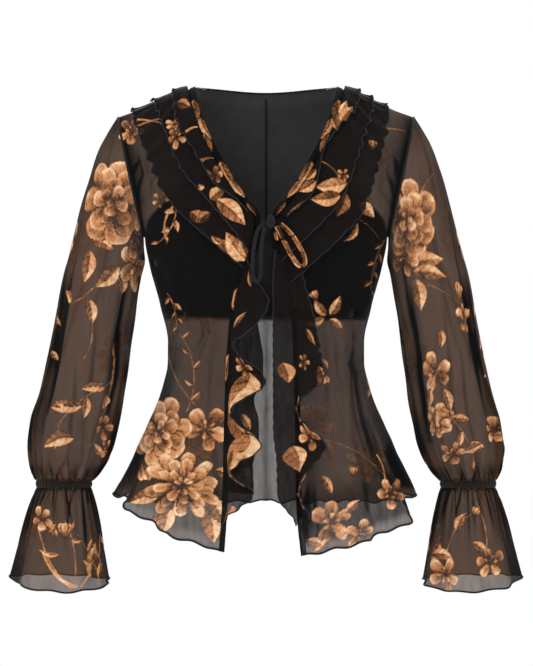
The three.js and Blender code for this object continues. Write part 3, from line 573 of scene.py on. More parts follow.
cloths = {key: printedCloth(key + "Cloth", **look) for key, look in looks.items()}
liningCloth = plainCloth("liningCloth", (0.006, 0.006, 0.0065, 1))
# a lighter copy of the lining's black: painted light on the back lining seen at the neck
liningPaintedLight = plainCloth("liningPaintedLight", (0.036, 0.034, 0.034, 1), 0.8, 700, 0.5)
bindingCloth = plainCloth("bindingCloth", (0.009, 0.009, 0.01, 1))
casingCloth = plainCloth("casingCloth", (0.0095, 0.007, 0.006, 1))
threadCloth = plainCloth("threadCloth", (0.0085, 0.0086, 0.009, 1), 0.7, 1400, 0.6)
hemThread = plainCloth("hemThread", (0.006, 0.006, 0.006, 1), 0.6, 1400, 0.6)
print("materials ready")


def nearCrease(x, z, row):
    # share of the crease's run at its nearest point, and the distance to it across and upwards
    dx, dz = row["x1"] - row["x0"], row["z1"] - row["z0"]
    t = np.clip(((x - row["x0"]) * dx + (z - row["z0"]) * dz) / (dx * dx + dz * dz), 0, 1)
    return t, x - row["x0"] - t * dx, z - row["z0"] - t * dz


def creaseLift(x, z, rows):
    # each crease is a soft ridge or trough along a segment: depth * exp(-(distance / width)^2)
    total = np.zeros(np.shape(x))
    for row in rows:
        t, aside, above = nearCrease(x, z, row)
        gap = np.hypot(aside, above)
        wide = row["width"] * (0.6 + 0.4 * np.sin(pi * t))
        total += row["depth"] * bell(gap, wide)
    return total


def creaseDark(x, z, rows):
    # dark line along a crease, partly cloth pinched double and partly painted shade, that fades to both ends;
    # soft adds a wide band of painted shade along it
    total = np.zeros(np.shape(x))
    for row in rows:
        t, aside, above = nearCrease(x, z, row)
        bow = row.get("bow", 3) * np.sin(pi * t) + 1.2 * np.sin(9 * t + row["x0"])
        gap = np.hypot(aside + bow, above)
        wide = row["width"] * 0.3 * (0.4 + np.sin(pi * t))
        total += row.get("dark", 0.22) * abs(row["depth"]) * bell(gap, wide) * (0.3 + 0.7 * np.sin(pi * t))
        total += row.get("soft", 0) * bell(gap, row["width"]) * np.sin(pi * t) ** 0.5
    return np.minimum(total, 1)


def gatherLines(turn, away, count, seed):
    # narrow lines round a tube that start at its gathered end and fade as they lengthen and lean
    random = np.random.default_rng(seed)
    total = np.zeros(np.shape(turn + away))
    for k in range(count):
        place = 2 * pi * (k + random.uniform(-0.4, 0.4)) / count
        long, lean = random.uniform(0.25, 1.0) ** 1.4, random.uniform(-0.35, 0.35)
        gap = (turn - place - lean * away / long + pi) % (2 * pi) - pi
        wide = random.uniform(0.018, 0.034) * (1 + 0.7 * away / long)
        total += random.uniform(0.45, 1) * bell(gap, wide) * (1 - ramp(0.35 * long, long, away))
    return np.minimum(total, 1)


def runLengths(points):
    # distance along each row from its first point
    step = np.linalg.norm(np.diff(points, axis=1), axis=-1)
    return np.concatenate([np.zeros((len(points), 1)), np.cumsum(step, axis=1)], 1)


def bandWidth(up):
    return lerp(7.0, 8.0, ramp(0.98, 1.1, up))


def upOf(v, chest, end=2):
    # height step: 0 at the hem, 1 at the chest line, the end at the last row
    return np.where(v <= chest, v / chest, 1 + (end - 1) * (v - chest) / (1 - chest))


# fine and broad: the cloth's ripple; out and down: the hem's wave, its height, length and start
bodyWaves = dict(
    front=dict(fine=17, broad=23, out=1.9, outLong=37, down=1.4, downLong=34, downStart=1.4),
    back=dict(fine=19, broad=21, out=2.4, outLong=36, down=2.0, downLong=33, downStart=0.7),
)


def wavyBody(side, face, across, up, u, rise, creases):
    # body form with creases and a fine ripple, and a wave rolled into its hem
    wave = bodyWaves[face]
    base = bodyPoint(1, face, across, up)
    run = runLengths(base)
    lift = creaseLift(base[..., 0], base[..., 2], creases) * ramp(0, 0.06, u) * ramp(0, 0.05, 1 - u)
    lift = lift + 0.35 * np.sin(base[..., 2] / wave["fine"] + 3 * np.sin(run / wave["broad"]))
    roll = np.exp(-rise / 12)
    lift = lift + wave["out"] * roll * np.sin(2 * pi * run / wave["outLong"] + side) * ramp(0, 0.04, u)
    points = offBody(side, face, across, up, lift)
    points[..., 2] += wave["down"] * roll * np.sin(2 * pi * run / wave["downLong"] + wave["downStart"])
    return base, points


# fronts
# armhole line of the lining, which darkens the fronts over it
liningArmRows = named("z x",
    (-185, 150), (-171, 146), (-145, 122), (-128, 103), (-100, 97), (-60, 99), (0, 112),
)
fronts = {
    1: dict(
        name="frontLeft", node="front_left", seed=3, hemShade=0.75,
        creases=named(crease,
            (146, -205, 96, -300, 9, -2), (118, -300, 84, -345, 6, 1.6), (122, -335, 88, -352, 5, -1.8),
            (120, -352, 78, -372, 6, 1.6), (70, -250, 78, -430, 10, 1.6), (100, -380, 128, -540, 9, 2.2),
            (60, -400, 62, -560, 8, -1.8), (150, -70, 140, -150, 8, -1.5),
            (158, -84, 166, -122, 6, -2.4, dict(dark=0.3)), (150, -96, 158, -140, 6, -2.2, dict(dark=0.28)),
            (132, -118, 160, -156, 6, -1.6), (84, -300, 92, -372, 7, -1.8),
            (104, -330, 126, -470, 8, -2.4, dict(dark=0.3, bow=8)),
            (112, -360, 150, -500, 7, -2, dict(dark=0.3, bow=6)),
            (106, -286, 136, -480, 9, -2, dict(dark=0.3, soft=0.6, bow=6)),
            (128, -400, 160, -500, 8, -1.6, dict(soft=0.4, bow=5)),
            (52, -460, 50, -562, 7, -1.6, dict(soft=0.5)),
        ),
        motifs=named(motif,
            ("stem", 44, -430, 120, -28, 0.8, dict(bend=0.12)),
            ("stem", 150, -372, 60, -70, 0.7, dict(bend=-0.1)),
            ("leaf", 74, -284, 26, 128, dict(bend=0.08)), ("leaf", 77, -284, 28, 62, dict(bend=-0.06)),
            ("leaf", 71, -286, 25, 196, dict(bend=0.1)), ("leaf", 76, -288, 22, -36, dict(bend=0.05)),
            ("bud", 62, -266, 13, 120), ("leaf", 66, -476, 26, -60),
            ("blossom", 151, -499, 17, 20, dict(squash=1.1)),
            ("blossom", 78, -531, 24, -10, dict(squash=1.1)),
            ("blossom", 112, -544, 19, 40, dict(squash=0.8)), ("leaf", 70, -548, 24, -130),
            ("leaf", 96, -520, 24, 40), ("bud", 104, -478, 12, 80),
            ("stem", 140, -56, 30, -4, 0.9, dict(bend=0.06)), ("leaf", 111, -148, 27, -41, 0.3, 0.12),
            ("leaf", 110, -171, 30, -128, 0.14, dict(bend=0.2)),
            ("stem", 106, -165, 40, -38, 0.8, -0.1, dict(bend=0.08)),
            ("sprig", 146, -190, 70, -104, dict(bend=-0.08, leaves=6, leaf=15, shade=-0.1)),
            ("bud", 68, -350, 17, -80, dict(shade=-0.1)), ("leaf", 67, -336, 16, -60, dict(shade=-0.1)),
            ("sprig", 124, -366, 52, -62, dict(bend=0.1, leaves=4)),
            ("stem", 134, -452, 46, -80, 0.9, 0.15, dict(bend=0.12)),
            ("leaf", 48, -552, 26, -22, dict(shade=0.1)),
        ),
    ),
    -1: dict(
        name="frontRight", node="front_right", seed=4, hemShade=0.45,
        creases=named(crease,
            (140, -215, 92, -305, 9, -2), (116, -300, 82, -335, 6, 1.8), (120, -322, 80, -352, 5, -2),
            (122, -345, 84, -376, 6, 1.6), (62, -270, 74, -420, 10, 1.5), (104, -390, 134, -530, 9, 2.4),
            (64, -410, 66, -560, 8, -2), (152, -60, 142, -150, 8, -1.4),
            (157, -86, 168, -118, 6, -2.4, dict(dark=0.32)),
            (155, -92, 157, -138, 6, -2.4, dict(dark=0.32)), (126, -120, 160, -150, 6, -1.8),
            (79, -290, 84, -330, 6, -2, dict(dark=0.3)), (68, -290, 86, -350, 6, -1.8),
            (48, -410, 56, -540, 7, -2.6, dict(dark=0.32, bow=5)), (62, -440, 60, -556, 6, -2),
            (112, -300, 140, -450, 8, -2, dict(soft=0.5, bow=6)),
            (48, -420, 46, -540, 8, -1.8, dict(soft=0.6)),
        ),
        motifs=named(motif,
            ("stem", -86, -392, 112, 112, 0.8), ("sprig", -96, -400, 96, 96, dict(bend=-0.14, leaf=17)),
            ("leaf", -128, -500, 40, 196, dict(bend=-0.06)), ("leaf", -122, -512, 36, 238, dict(bend=0.08)),
            ("leaf", -70, -512, 46, -82, 0.3, 0.06), ("leaf", -68, -508, 30, -40, 0.34, 0.16),
            ("bud", -152, -462, 22, -70), ("leaf", -118, -510, 38, -102, 0.28, 0.1),
            ("leaf", -62, -470, 30, -20), ("blossom", -72, -421, 27, 15),
            ("leaf", -146, -462, 24, -80, dict(bend=0.08)), ("leaf", -66, -506, 34, -60, 0.3),
            ("peony", -130, -425, 41, -20, dict(squash=1.05)),
            ("dahlia", -100, -488, 45, 0, dict(squash=0.86)), ("blossom", -165, -58, 17, 30),
            ("blossom", -128, -143, 12, dict(squash=0.8, shade=-0.1)),
            ("sprig", -108, -150, 54, -119, dict(bend=0.14, shade=0.12)),
            ("stem", -112, -152, 40, -104, 1.4, 0.2, dict(bend=-0.14)),
            ("sprig", -121, -256, 46, -76, dict(bend=0.1, leaf=13)),
        ),
    ),
}


def overLining(base):
    # 0.99 where the opaque layer lies behind: above its hem and inside its armhole line
    inside = readRows(liningArmRows, "z", base[..., 2], "x") - base[..., 0]
    return 0.99 * ramp(-292, -287, base[..., 2]) * ramp(-3, 3, inside)


def buildFront(side, piece):
    # wavy body form from the band to the side seam
    u, v = gridOf(112, 350)
    up = upOf(v, chestAt["front"])
    start = edgeAcross(side, up[:, 0], bandWidth(up[:, 0]) - 0.5)[:, None]
    across = start + (1 - start) * u
    rise = v * spans["front"]
    base, points = wavyBody(side, "front", across, up, u, rise, piece["creases"])
    art = Print(points[..., 0], points[..., 2], piece["seed"]).draw(piece["motifs"])
    sideGap, topGap = (1 - u) * spans["half"], (1 - v) * spans["front"]
    art["thick"] = 0.9 * bell(sideGap, 4) + 0.7 * bell(topGap, 4) + 0.5 * bell(rise, 2)
    # painted shade below: a wide band by the side seam, the hem lip, the crease lines in part and a ramp to
    # the side
    art["thick"] += 0.4 * bell(sideGap, 24) + piece["hemShade"] * ramp(6, 18, rise) * (1 - ramp(50, 90, rise))
    art["thick"] += creaseDark(base[..., 0], base[..., 2], piece["creases"])
    art["thick"] += 0.6 * ramp(0.68, 1, u) * ramp(0, 60, rise)
    art["thick"] = np.maximum(art["thick"], overLining(base))
    obj = makeSheet(piece["name"], points, cloths["sheer"], art, flip=side < 0)
    hem = makeTube(piece["name"] + "Hem", points[0], 1.25, hemThread)
    dress(piece["node"], "sheer_cloth", obj, [hem])
    declareSheet(points, withPieces=[hem, *buildBands(side)])


def buildBands(side):
    # narrow strips along the front edge: the neck band above the bust, the front band below it
    parts = []
    for kind, low, high, width, node in (
        ("neckBand", 1.128, 2.0, 8, "neck_band_"),
        ("frontBand", 0.0, 1.12, 7, "front_band_"),
    ):
        u, v = gridOf(10, 260)
        up = low + (high - low) * v
        start, end = (edgeAcross(side, up[:, 0], share * width)[:, None] for share in (0, 1))
        lift = 0.35 + 0.5 * np.sin(pi * u) + 0.15 * np.sin(v * 160 + 2 * np.sin(v * 31))
        points = offBody(side, "front", lerp(start, end, u), up, lift)
        art = Print(u * 8, points[..., 2], 61).draw(bandMotifs)
        art["thick"] = np.ones(u.shape)
        obj = makeSheet(kind + sideName(side).title(), points, cloths["band"], art, flip=side < 0)
        dress(node + sideName(side), "band_cloth", obj)
        parts.append(obj)
    return parts


bandMotifs = named(motif,
    ("leaf", 4, -20, 30, -84, 0.24), ("leaf", 3, -44, 28, -96, 0.22, 0.1),
    ("leaf", 5, -64, 28, -80, 0.24, 0.06), ("leaf", 3, -98, 30, -88, 0.24),
    ("leaf", 4, -120, 24, -96, 0.24, 0.1), ("leaf", 3, -148, 18, -80, 0.16, -0.1),
    ("leaf", 4, -250, 30, -92, 0.18), ("leaf", 4, -330, 34, -86, 0.18),
)


for side, piece in fronts.items():
    buildFront(side, piece)
print("fronts built")

backs = {
    1: dict(
        name="backLeft", node="back_left", seed=5,
        motifs=named(motif,
            ("peony", 104, -132, 34, dict(squash=1.1)),
            ("sprig", 96, -190, 90, -80, dict(bend=0.1, leaf=24)), ("blossom", 60, -420, 26),
            ("leaf", 70, -440, 34, -60), ("leaf", 48, -436, 32, -130), ("dahlia", 130, -470, 28),
            ("leaf", 136, -90, 28, 20), ("stem", 60, -410, 90, 80, dict(bend=0.12)),
        ),
    ),
    -1: dict(
        name="backRight", node="back_right", seed=6,
        motifs=named(motif,
            ("dahlia", -92, -250, 30, dict(squash=1.1)), ("leaf", -104, -270, 34, -120),
            ("leaf", -82, -276, 36, -70),
            ("sprig", -130, -60, 100, -84, dict(bend=-0.1, leaves=6, leaf=22)), ("peony", -96, -440, 32),
            ("leaf", -130, -460, 32, 200), ("blossom", -40, -480, 20), ("stem", -70, -410, 100, 96),
        ),
    ),
}
backCreases = named(crease,
    (136, -200, 80, -300, 9, -2), (40, -60, 60, -240, 10, 1.2), (118, -318, 70, -338, 6, -1.8),
    (116, -338, 60, -362, 6, 1.6), (60, -380, 72, -510, 9, 2), (20, -300, 26, -505, 8, -1.6),
    (110, -390, 138, -500, 8, -2),
)


def backTop(across):
    neck = body["neckX"] / body["shoulderX"]
    fall = (1 - body["neckRise"]) * np.sin(pi / 2 * np.clip(1 - across / neck, 0, 1)) ** body["neckBow"]
    return np.where(across >= neck, 2.0, 2.0 - fall)


def bindingDrop(share):
    # width of the neck binding in height steps, narrow towards the shoulders
    return 5 * (1 - 0.8 * ramp(0.8, 1, share)) / 200


def buildBack(side, piece):
    # wavy body form from the centre-back seam to the side seam, cut to the back neck
    u, v = gridOf(84, 250)
    edge = body["neckX"] / body["shoulderX"]
    top = backTop(u) - np.where(u < edge, bindingDrop(u / edge) - 0.003, 0)
    up = upOf(v, chestAt["back"], top)
    rise = v * spans["back"]
    base, points = wavyBody(side, "back", u, up, u, rise, backCreases)
    art = Print(points[..., 0], points[..., 2], piece["seed"]).draw(piece["motifs"])
    middle, sideGap = u * spans["half"], (1 - u) * spans["half"]
    topGap = (top - up) * spans["yoke"]
    art["thick"] = 0.6 * bell(middle, 1.6) + 0.7 * bell(sideGap, 3)
    art["thick"] += 0.6 * bell(topGap, 4) + 0.5 * bell(rise, 2)
    art["thick"] = np.maximum(art["thick"], overLining(base))
    obj = makeSheet(piece["name"], points, cloths["sheer"], art, flip=side > 0)
    hem = makeTube(piece["name"] + "Hem", points[0], 0.9, hemThread, up=(0, 1, 0))
    dress(piece["node"], "sheer_cloth", obj, [hem])
    parts = [hem] if side < 0 else [hem, buildBinding()]
    declareSheet(points, withPieces=parts)


def buildBinding():
    # folded strip along the back neck, narrowing to the shoulders
    u, v = gridOf(150, 8)
    across = np.abs(2 * u - 1) * body["neckX"] / body["shoulderX"]
    up = backTop(across) - bindingDrop(np.abs(2 * u - 1)) * (1 - v)
    lift = 0.4 + 0.5 * np.sin(pi * v) + 0.15 * np.sin(u * 230 + 2 * np.sin(u * 40))
    points = offBody(1, "back", across, up, lift)
    points[..., 0] *= np.where(u < 0.5, -1, 1)
    obj = makeSheet("backNeckBinding", points, bindingCloth, flip=True)
    dress("back_neck_binding", "binding_cloth", obj)
    return obj


for side, piece in backs.items():
    buildBack(side, piece)
print("backs built")


def liningReach(up):
    # share of the front that lies inside the lining's armhole line
    def isInside(across):
        point = bodyPoint(1, "front", across, up)
        return point[..., 0] < readRows(liningArmRows, "z", point[..., 2], "x")

    return np.where(up <= 1, 1.0, searchInside(np.full(up.shape, 0.3), np.ones(up.shape), 26, isInside))


def liningStart(face, across):
    wide = signPower(np.sin(pi / 2 * across), 2 / body["power"])
    hemZ = hemHeight(1, face, wide)
    return (-285 - hemZ) / (body["chestZ"] - hemZ)


def buildLining(face, piece):
    # short opaque layer inside the body form: V neck and deep armholes in front, curved neck behind
    w, v = gridOf(200, liningRows)
    share, side = np.abs(2 * w - 1), np.where(w < 0.5, -1, 1)
    up = upOf(v, chestAt["lining"])
    reach = liningReach(up[:, 0])[:, None]
    if face == "front":
        closing = ramp(0.99, 1.04, up[:, 0])
        start = (edgeAcross(1, np.maximum(up[:, 0], 1), 1.0) * closing)[:, None]
        across = start + (reach - start) * share
        place = np.minimum(up, 1.96)
    else:
        across = share * reach
        place = np.minimum(np.where(up < 1, up, 1 + (up - 1) * (backTop(across) - 1.012)), 1.975)
    hem = liningStart(face, across)
    place = np.where(place < 1, hem + (1 - hem) * place, place)
    depth = -(2.2 + 2.8 * ramp(1.4, 1.9, place)) * (1 - 0.9 * ramp(0.9, 1, v))
    rise = v / chestAt["lining"] * 100
    roll = np.exp(-rise / 9)
    run = (2 * w - 1) * 210
    depth = depth + 1.4 * roll * np.sin(2 * pi * run / 19 + 2 * np.sin(run / 31)) - 0.4 * roll
    points = offBody(1, face, across, place, depth)
    points[..., 0] *= side
    points[..., 2] += 1.6 * roll * np.sin(2 * pi * run / 21 + 1.1 * np.sin(run / 40))
    columns = points.shape[1]
    half = columns // 2
    if face == "front":
        chest = int(chestAt["lining"] * liningRows)
        points[:chest, half] = (points[:chest, half - 1] + points[:chest, half + 1]) / 2
    obj = makeSheet(piece["name"], points, piece["cloth"], flip=face == "back")
    trims = [makeTube(piece["name"] + "Hem", points[0], 0.8, hemThread)]
    if face == "front":  # the faces that would bridge the V neck go
        rows = np.nonzero(up[:, 0] > 1.02)[0]
        removeFaces(obj.data, {int(row) * (columns - 1) + k for row in rows[:-1] for k in (half - 1, half)})
    else:
        trims.append(makeTube("liningSeam", points[4:-3, half] + (0, -0.7, 0), 1.5, bindingCloth))
    dress(piece["node"], "lining_cloth", obj, trims, "lining_cloth")
    declareSheet(points, withPieces=trims)


def removeFaces(mesh, drop):
    work = bmesh.new()
    work.from_mesh(mesh)
    work.faces.ensure_lookup_table()
    bmesh.ops.delete(work, geom=[work.faces[k] for k in drop], context="FACES_ONLY")
    work.to_mesh(mesh)
    work.free()


buildLining("front", dict(name="liningFront", node="lining_front", cloth=liningCloth))
buildLining("back", dict(name="liningBack", node="lining_back", cloth=liningPaintedLight))
print("lining built")

# sleeves
# outer and inner line, half depth, shift to the front, gather depth
sleeveRows = named("outerX outerZ innerX innerZ depth shiftY gather",
    (184, -38.4, 151.8, -185.4, 55, 0, 0), (203, -69, 151.2, -201, 57, 0, 0),
    (217, -107, 149.8, -216, 59, -1, 0), (229, -150, 153.5, -236, 60, -2, 0.5),
    (240, -196, 158.5, -266, 60, -3, 0.8), (251, -240, 163, -294, 59, -5, 1),
    (259, -285, 167.5, -324, 58, -7, 1.2), (267.5, -332, 173, -360, 58, -10, 1.5),
    (278, -378, 179, -396, 58, -12, 1.8), (288.5, -413, 185, -424, 57, -14, 2.2),
    (291, -440, 191, -445, 54, -16, 2.8), (289.5, -459, 198, -462, 49, -17, 3.2),
    (287, -474, 206.5, -476, 40, -18, 2.6), (283.4, -486, 214.8, -487.2, 27, -18, 0.9),
)
for k, row in enumerate(sleeveRows):
    row["at"] = k / (len(sleeveRows) - 1)

sleeves = {
    -1: dict(
        name="sleeveRight", node="sleeve_right", cuffName="cuffRight", cuffNode="cuff_right", seed=11,
        # x0, z0 and x1, z1 on the sleeve's own plane
        creases=named(crease,
            (152, -150, 178, -330, 8, -4), (240, -170, 276, -400, 8, -4), (256, -190, 292, -430, 7, 3),
            (166, -260, 186, -430, 7, -4.5), (176, -120, 214, -290, 10, 2), (206, -260, 226, -470, 8, -2.6),
            (232, -330, 244, -480, 7, 2.6), (188, -340, 226, -480, 6, 2.4), (196, -60, 206, -150, 7, -2.2),
            (176, -250, 192, -430, 10, -1.5, dict(soft=0.5)),
            (252, -230, 282, -430, 10, -1.5, dict(soft=0.45)), (170, -70, 166, -170, 7, 2),
        ),
        motifs=named(motif,
            ("leaf", -213, -190, 31, -28, 0.26), ("leaf", -216, -203, 42, -100, 0.24),
            ("leaf", -178, -223, 40, -139, 0.26, 0.06), ("leaf", -174, -232, 32, -80, 0.28),
            ("stem", -209, -249, 42, -148, dict(bend=0.06)), ("leaf", -238, -265, 26, 147, 0.28),
            ("leaf", -216, -263, 33, -84, 0.24), ("stem", -212, -294, 46, -104),
            ("blossom", -150, -222, 30, 20, dict(squash=1.2)),
            ("blossom", -156, -186, 30, 60, dict(squash=1.1, shade=-0.05)),
            ("peony", -185, -145, 58, -10, dict(squash=0.94)),
            ("blossom", -174, -50, 19, 30, dict(squash=0.9)),
            ("sprig", -178, -366, 104, 218, dict(bend=-0.12, leaves=4, leaf=32)),
            ("leaf", -222, -392, 36, 172, dict(bend=0.12)), ("leaf", -232, -432, 42, 198, dict(bend=-0.12)),
            ("stem", -176, -320, 130, -108, 1.2), ("bud", -196, -378, 20, -60), ("blossom", -190, -420, 16),
            ("blossom", -184, -448, 13, 40), ("leaf", -208, -440, 24, -50), ("peony", -292, -190, 36),
            ("sprig", -296, -250, 110, -84, dict(bend=0.1, leaf=26)), ("dahlia", -90, -330, 30),
            ("leaf", -96, -360, 30, -80),
        ),
        cuffMotifs=named(motif,
            ("stem", -236, -616, 92, 118, 1.4, 0.1), ("stem", -234, -616, 84, 98, 1.2, dict(bend=-0.08)),
            ("stem", -230, -614, 60, 136, 2.2, 0.3, dict(bend=0.12)),
            ("stem", -224, -614, 70, 62, 1.4, 0.1, dict(bend=-0.1)), ("bud", -247, -556, 20, 84),
            ("blossom", -275, -532, 15, 20, dict(squash=1.1)), ("leaf", -270, -540, 22, -40),
            ("leaf", -262, -549, 14, 60), ("leaf", -250, -574, 30, 168, 0.12, 0.3, dict(bend=0.12)),
            ("leaf", -206, -606, 46, 84, 0.2, -0.16),
            ("sprig", -196, -614, 86, 122, dict(bend=-0.1, leaf=18)), ("stem", -190, -590, 60, 110),
            ("blossom", -350, -560, 20), ("blossom", -150, -560, 18),
        ),
    ),
    1: dict(
        name="sleeveLeft", node="sleeve_left", cuffName="cuffLeft", cuffNode="cuff_left", seed=12,
        creases=named(crease,
            (152, -160, 180, -340, 8, -4), (238, -160, 282, -410, 8, -4), (254, -200, 296, -440, 7, 3),
            (170, -250, 190, -440, 7, -4), (190, -110, 236, -330, 10, -2.2), (216, -270, 240, -470, 8, 2.4),
            (236, -310, 262, -480, 7, -2.4), (192, -350, 230, -480, 6, 2.4), (202, -60, 214, -150, 7, 2),
            (172, -250, 194, -440, 10, -1.5, dict(soft=0.5)),
            (250, -240, 280, -430, 10, -1.5, dict(soft=0.45)), (172, -70, 168, -170, 7, -2),
        ),
        motifs=named(motif,
            ("stem", 189, -134, 36, 42, 0.9), ("leaf", 174, -222, 46, 8, 0.24),
            ("leaf", 177, -231, 46, -8, 0.21), ("leaf", 180, -238, 42, -80, 0.25),
            ("stem", 196, -246, 50, -28, 0.9, dict(bend=0.05)),
            ("bud", 240, -266, 24, 80, dict(shade=-0.05)), ("blossom", 248, -286, 16, 0, dict(squash=1.25)),
            ("blossom", 164, -214, 22, 30, dict(squash=1.1, shade=-0.05)),
            ("peony", 170, -166, 42, 8, dict(squash=1.15)), ("bud", 178, -40, 15, 80),
            ("leaf", 212, -300, 24, -90), ("blossom", 206, -352, 20, 0, dict(squash=1.2)),
            ("leaf", 214, -372, 30, -70), ("leaf", 200, -372, 30, -110), ("peony", 208, -412, 22, 20),
            ("sprig", 196, -392, 96, -52, dict(bend=0.14, leaf=22)), ("blossom", 226, -452, 15),
            ("blossom", 286, -424, 16, 30), ("leaf", 262, -440, 26, 200), ("peony", 292, -190, 34),
            ("sprig", 296, -250, 110, -96, dict(bend=0.1, leaf=26)), ("dahlia", 92, -330, 28),
            ("leaf", 90, -362, 30, -100),
        ),
        cuffMotifs=named(motif,
            ("stem", 214, -580, 80, 52), ("leaf", 206, -560, 30, -120, dict(bend=0.1)),
            ("leaf", 232, -548, 28, 60, dict(bend=0.1)), ("leaf", 196, -576, 32, -10, dict(bend=0.1)),
            ("leaf", 250, -560, 28, -40, dict(bend=0.1)), ("stem", 268, -580, 70, 100, dict(bend=-0.1)),
            ("blossom", 214, -600, 23), ("blossom", 274, -584, 19, 30), ("bud", 252, -530, 13, 60),
            ("blossom", 350, -560, 20), ("blossom", 150, -560, 18),
        ),
    ),
}
farCreases = named(crease,  # behind, the same on both sleeves
    (110, -200, 130, -440, 10, -4), (310, -200, 330, -440, 10, -4), (340, -160, 350, -400, 10, 3),
    (80, -160, 96, -400, 10, 3),
)
wrist = dict(x=249.2, y=-18, z=-491.2, half=33.6, depth=27, height=7)
cuff = dict(x=252.5, y=-20, topZ=-495.3, hemZ=-605, half=59.5, depth=52, waves=7, wave=3, flare=0.8,
            sag=4.5, drop=12)


def fromFront(turn):
    # the turn round a tube counted from its front, half a round to each side
    return (turn - pi / 2 + pi) % (2 * pi) - pi


def buildSleeve(side, piece):
    # oval rings between the outer and inner lines; gathers and creases move points along the ring's radius;
    # the plane of creases and print unrolls each ring: half width * cos^2 + depth * sin^2 for each radian
    turn, v = roundGrid(208, 256)
    read = {key: readRows(sleeveRows, "at", v[:, 0], key)[:, None] for key in sleeveRows[0] if key != "at"}
    midX, midZ = (read["outerX"] + read["innerX"]) / 2, (read["outerZ"] + read["innerZ"]) / 2
    front = fromFront(turn)
    half, depth = read["outerX"] - midX, read["depth"]
    planeX = midX - half * front - (depth - half) * (front / 2 - np.sin(2 * front) / 4)
    planeZ = midZ + (read["outerZ"] - midZ) * np.cos(turn)
    creases = piece["creases"] + farCreases
    g = read["gather"]
    swell = g * np.cos(12 * turn)
    swell = swell + 0.45 * g * np.cos(19 * turn + 1.5 * np.sin(2 * turn) + side)
    swell = swell + 0.3 * g * np.cos(31 * turn + 2 * side)
    inner = ramp(0, 0.08, v) * ramp(0, 0.04, 1 - v)
    swell = swell + creaseLift(planeX, planeZ, creases) * inner
    swell = swell + inner * 0.5 * np.sin(planeZ / 13 + 2.5 * np.sin(planeX / 15)) * np.sin(planeX / 21 + side)
    gathers = gatherLines(turn, (1 - v) / 0.34, 34, piece["seed"])
    swell = swell - 1.6 * gathers * inner
    cap = np.exp(-v / 0.03) * 0.9 * np.cos(26 * turn) * ramp(0.2, 0.9, np.cos(turn))
    factor = 1 + (swell + cap) / read["depth"]
    x = midX + (read["outerX"] - midX) * np.cos(turn) * factor
    y = read["shiftY"] - read["depth"] * np.sin(turn) * factor
    z = midZ + (read["outerZ"] - midZ) * np.cos(turn) * factor
    points = np.stack([side * x, y, z], -1)
    art = Print(side * planeX, planeZ, piece["seed"]).draw(piece["motifs"])
    bulge = np.clip(swell / 3, -1, 1)
    art["thick"] = 0.8 * bell(v * spans["sleeve"], 3)
    # painted shade in the troughs near the wrist, along the creases in part and along the gathers
    art["thick"] += 0.6 * ramp(0.8, 0.97, v) * np.clip(0.35 - 0.8 * bulge, 0, 1)
    art["thick"] += 0.5 * ramp(0.985, 1, v) + creaseDark(planeX, planeZ, creases) + 0.85 * gathers
    # painted shade along the sleeve's outer and inner sides, where it turns from view
    sideShade = 0.9 * np.abs(np.cos(turn + 0.12 * np.sin(9 * v + side))) ** 4.5
    art["thick"] += sideShade * (0.8 + 0.3 * np.sin(v * 37 + 2 * np.sin(v * 13)))
    obj = makeSheet(piece["name"], points, cloths["sleeve"], art, closed=True, flip=side < 0)
    dress(piece["node"], "sleeve_cloth", obj)
    parts = [buildWrist(side), buildArmhole(side, points[0])]
    declareSheet(points, closed=True, withPieces=parts)


def buildArmhole(side, ring):
    # overlocked seam: a soft cord midway between the sleeve's first ring and the body's armhole
    steps = np.linspace(1, 2, 60)
    front = bodyPoint(side, "front", np.ones(60), steps)
    back = bodyPoint(side, "back", np.ones(60), steps)[::-1]
    loop = np.concatenate([front, back[1:-1]])
    nearest = np.argmin(np.linalg.norm(loop[:, None] - ring[None], axis=-1), axis=1)
    path = (loop + ring[nearest]) / 2
    for turn in range(4):
        path = (np.roll(path, 1, 0) + 2 * path + np.roll(path, -1, 0)) / 4
    obj = makeTube("armhole" + sideName(side).title(), path, 1.7, bindingCloth, closed=True, up=(1, 0, 0))
    dress(None, "binding_cloth", obj)  # stands for no solid
    return obj


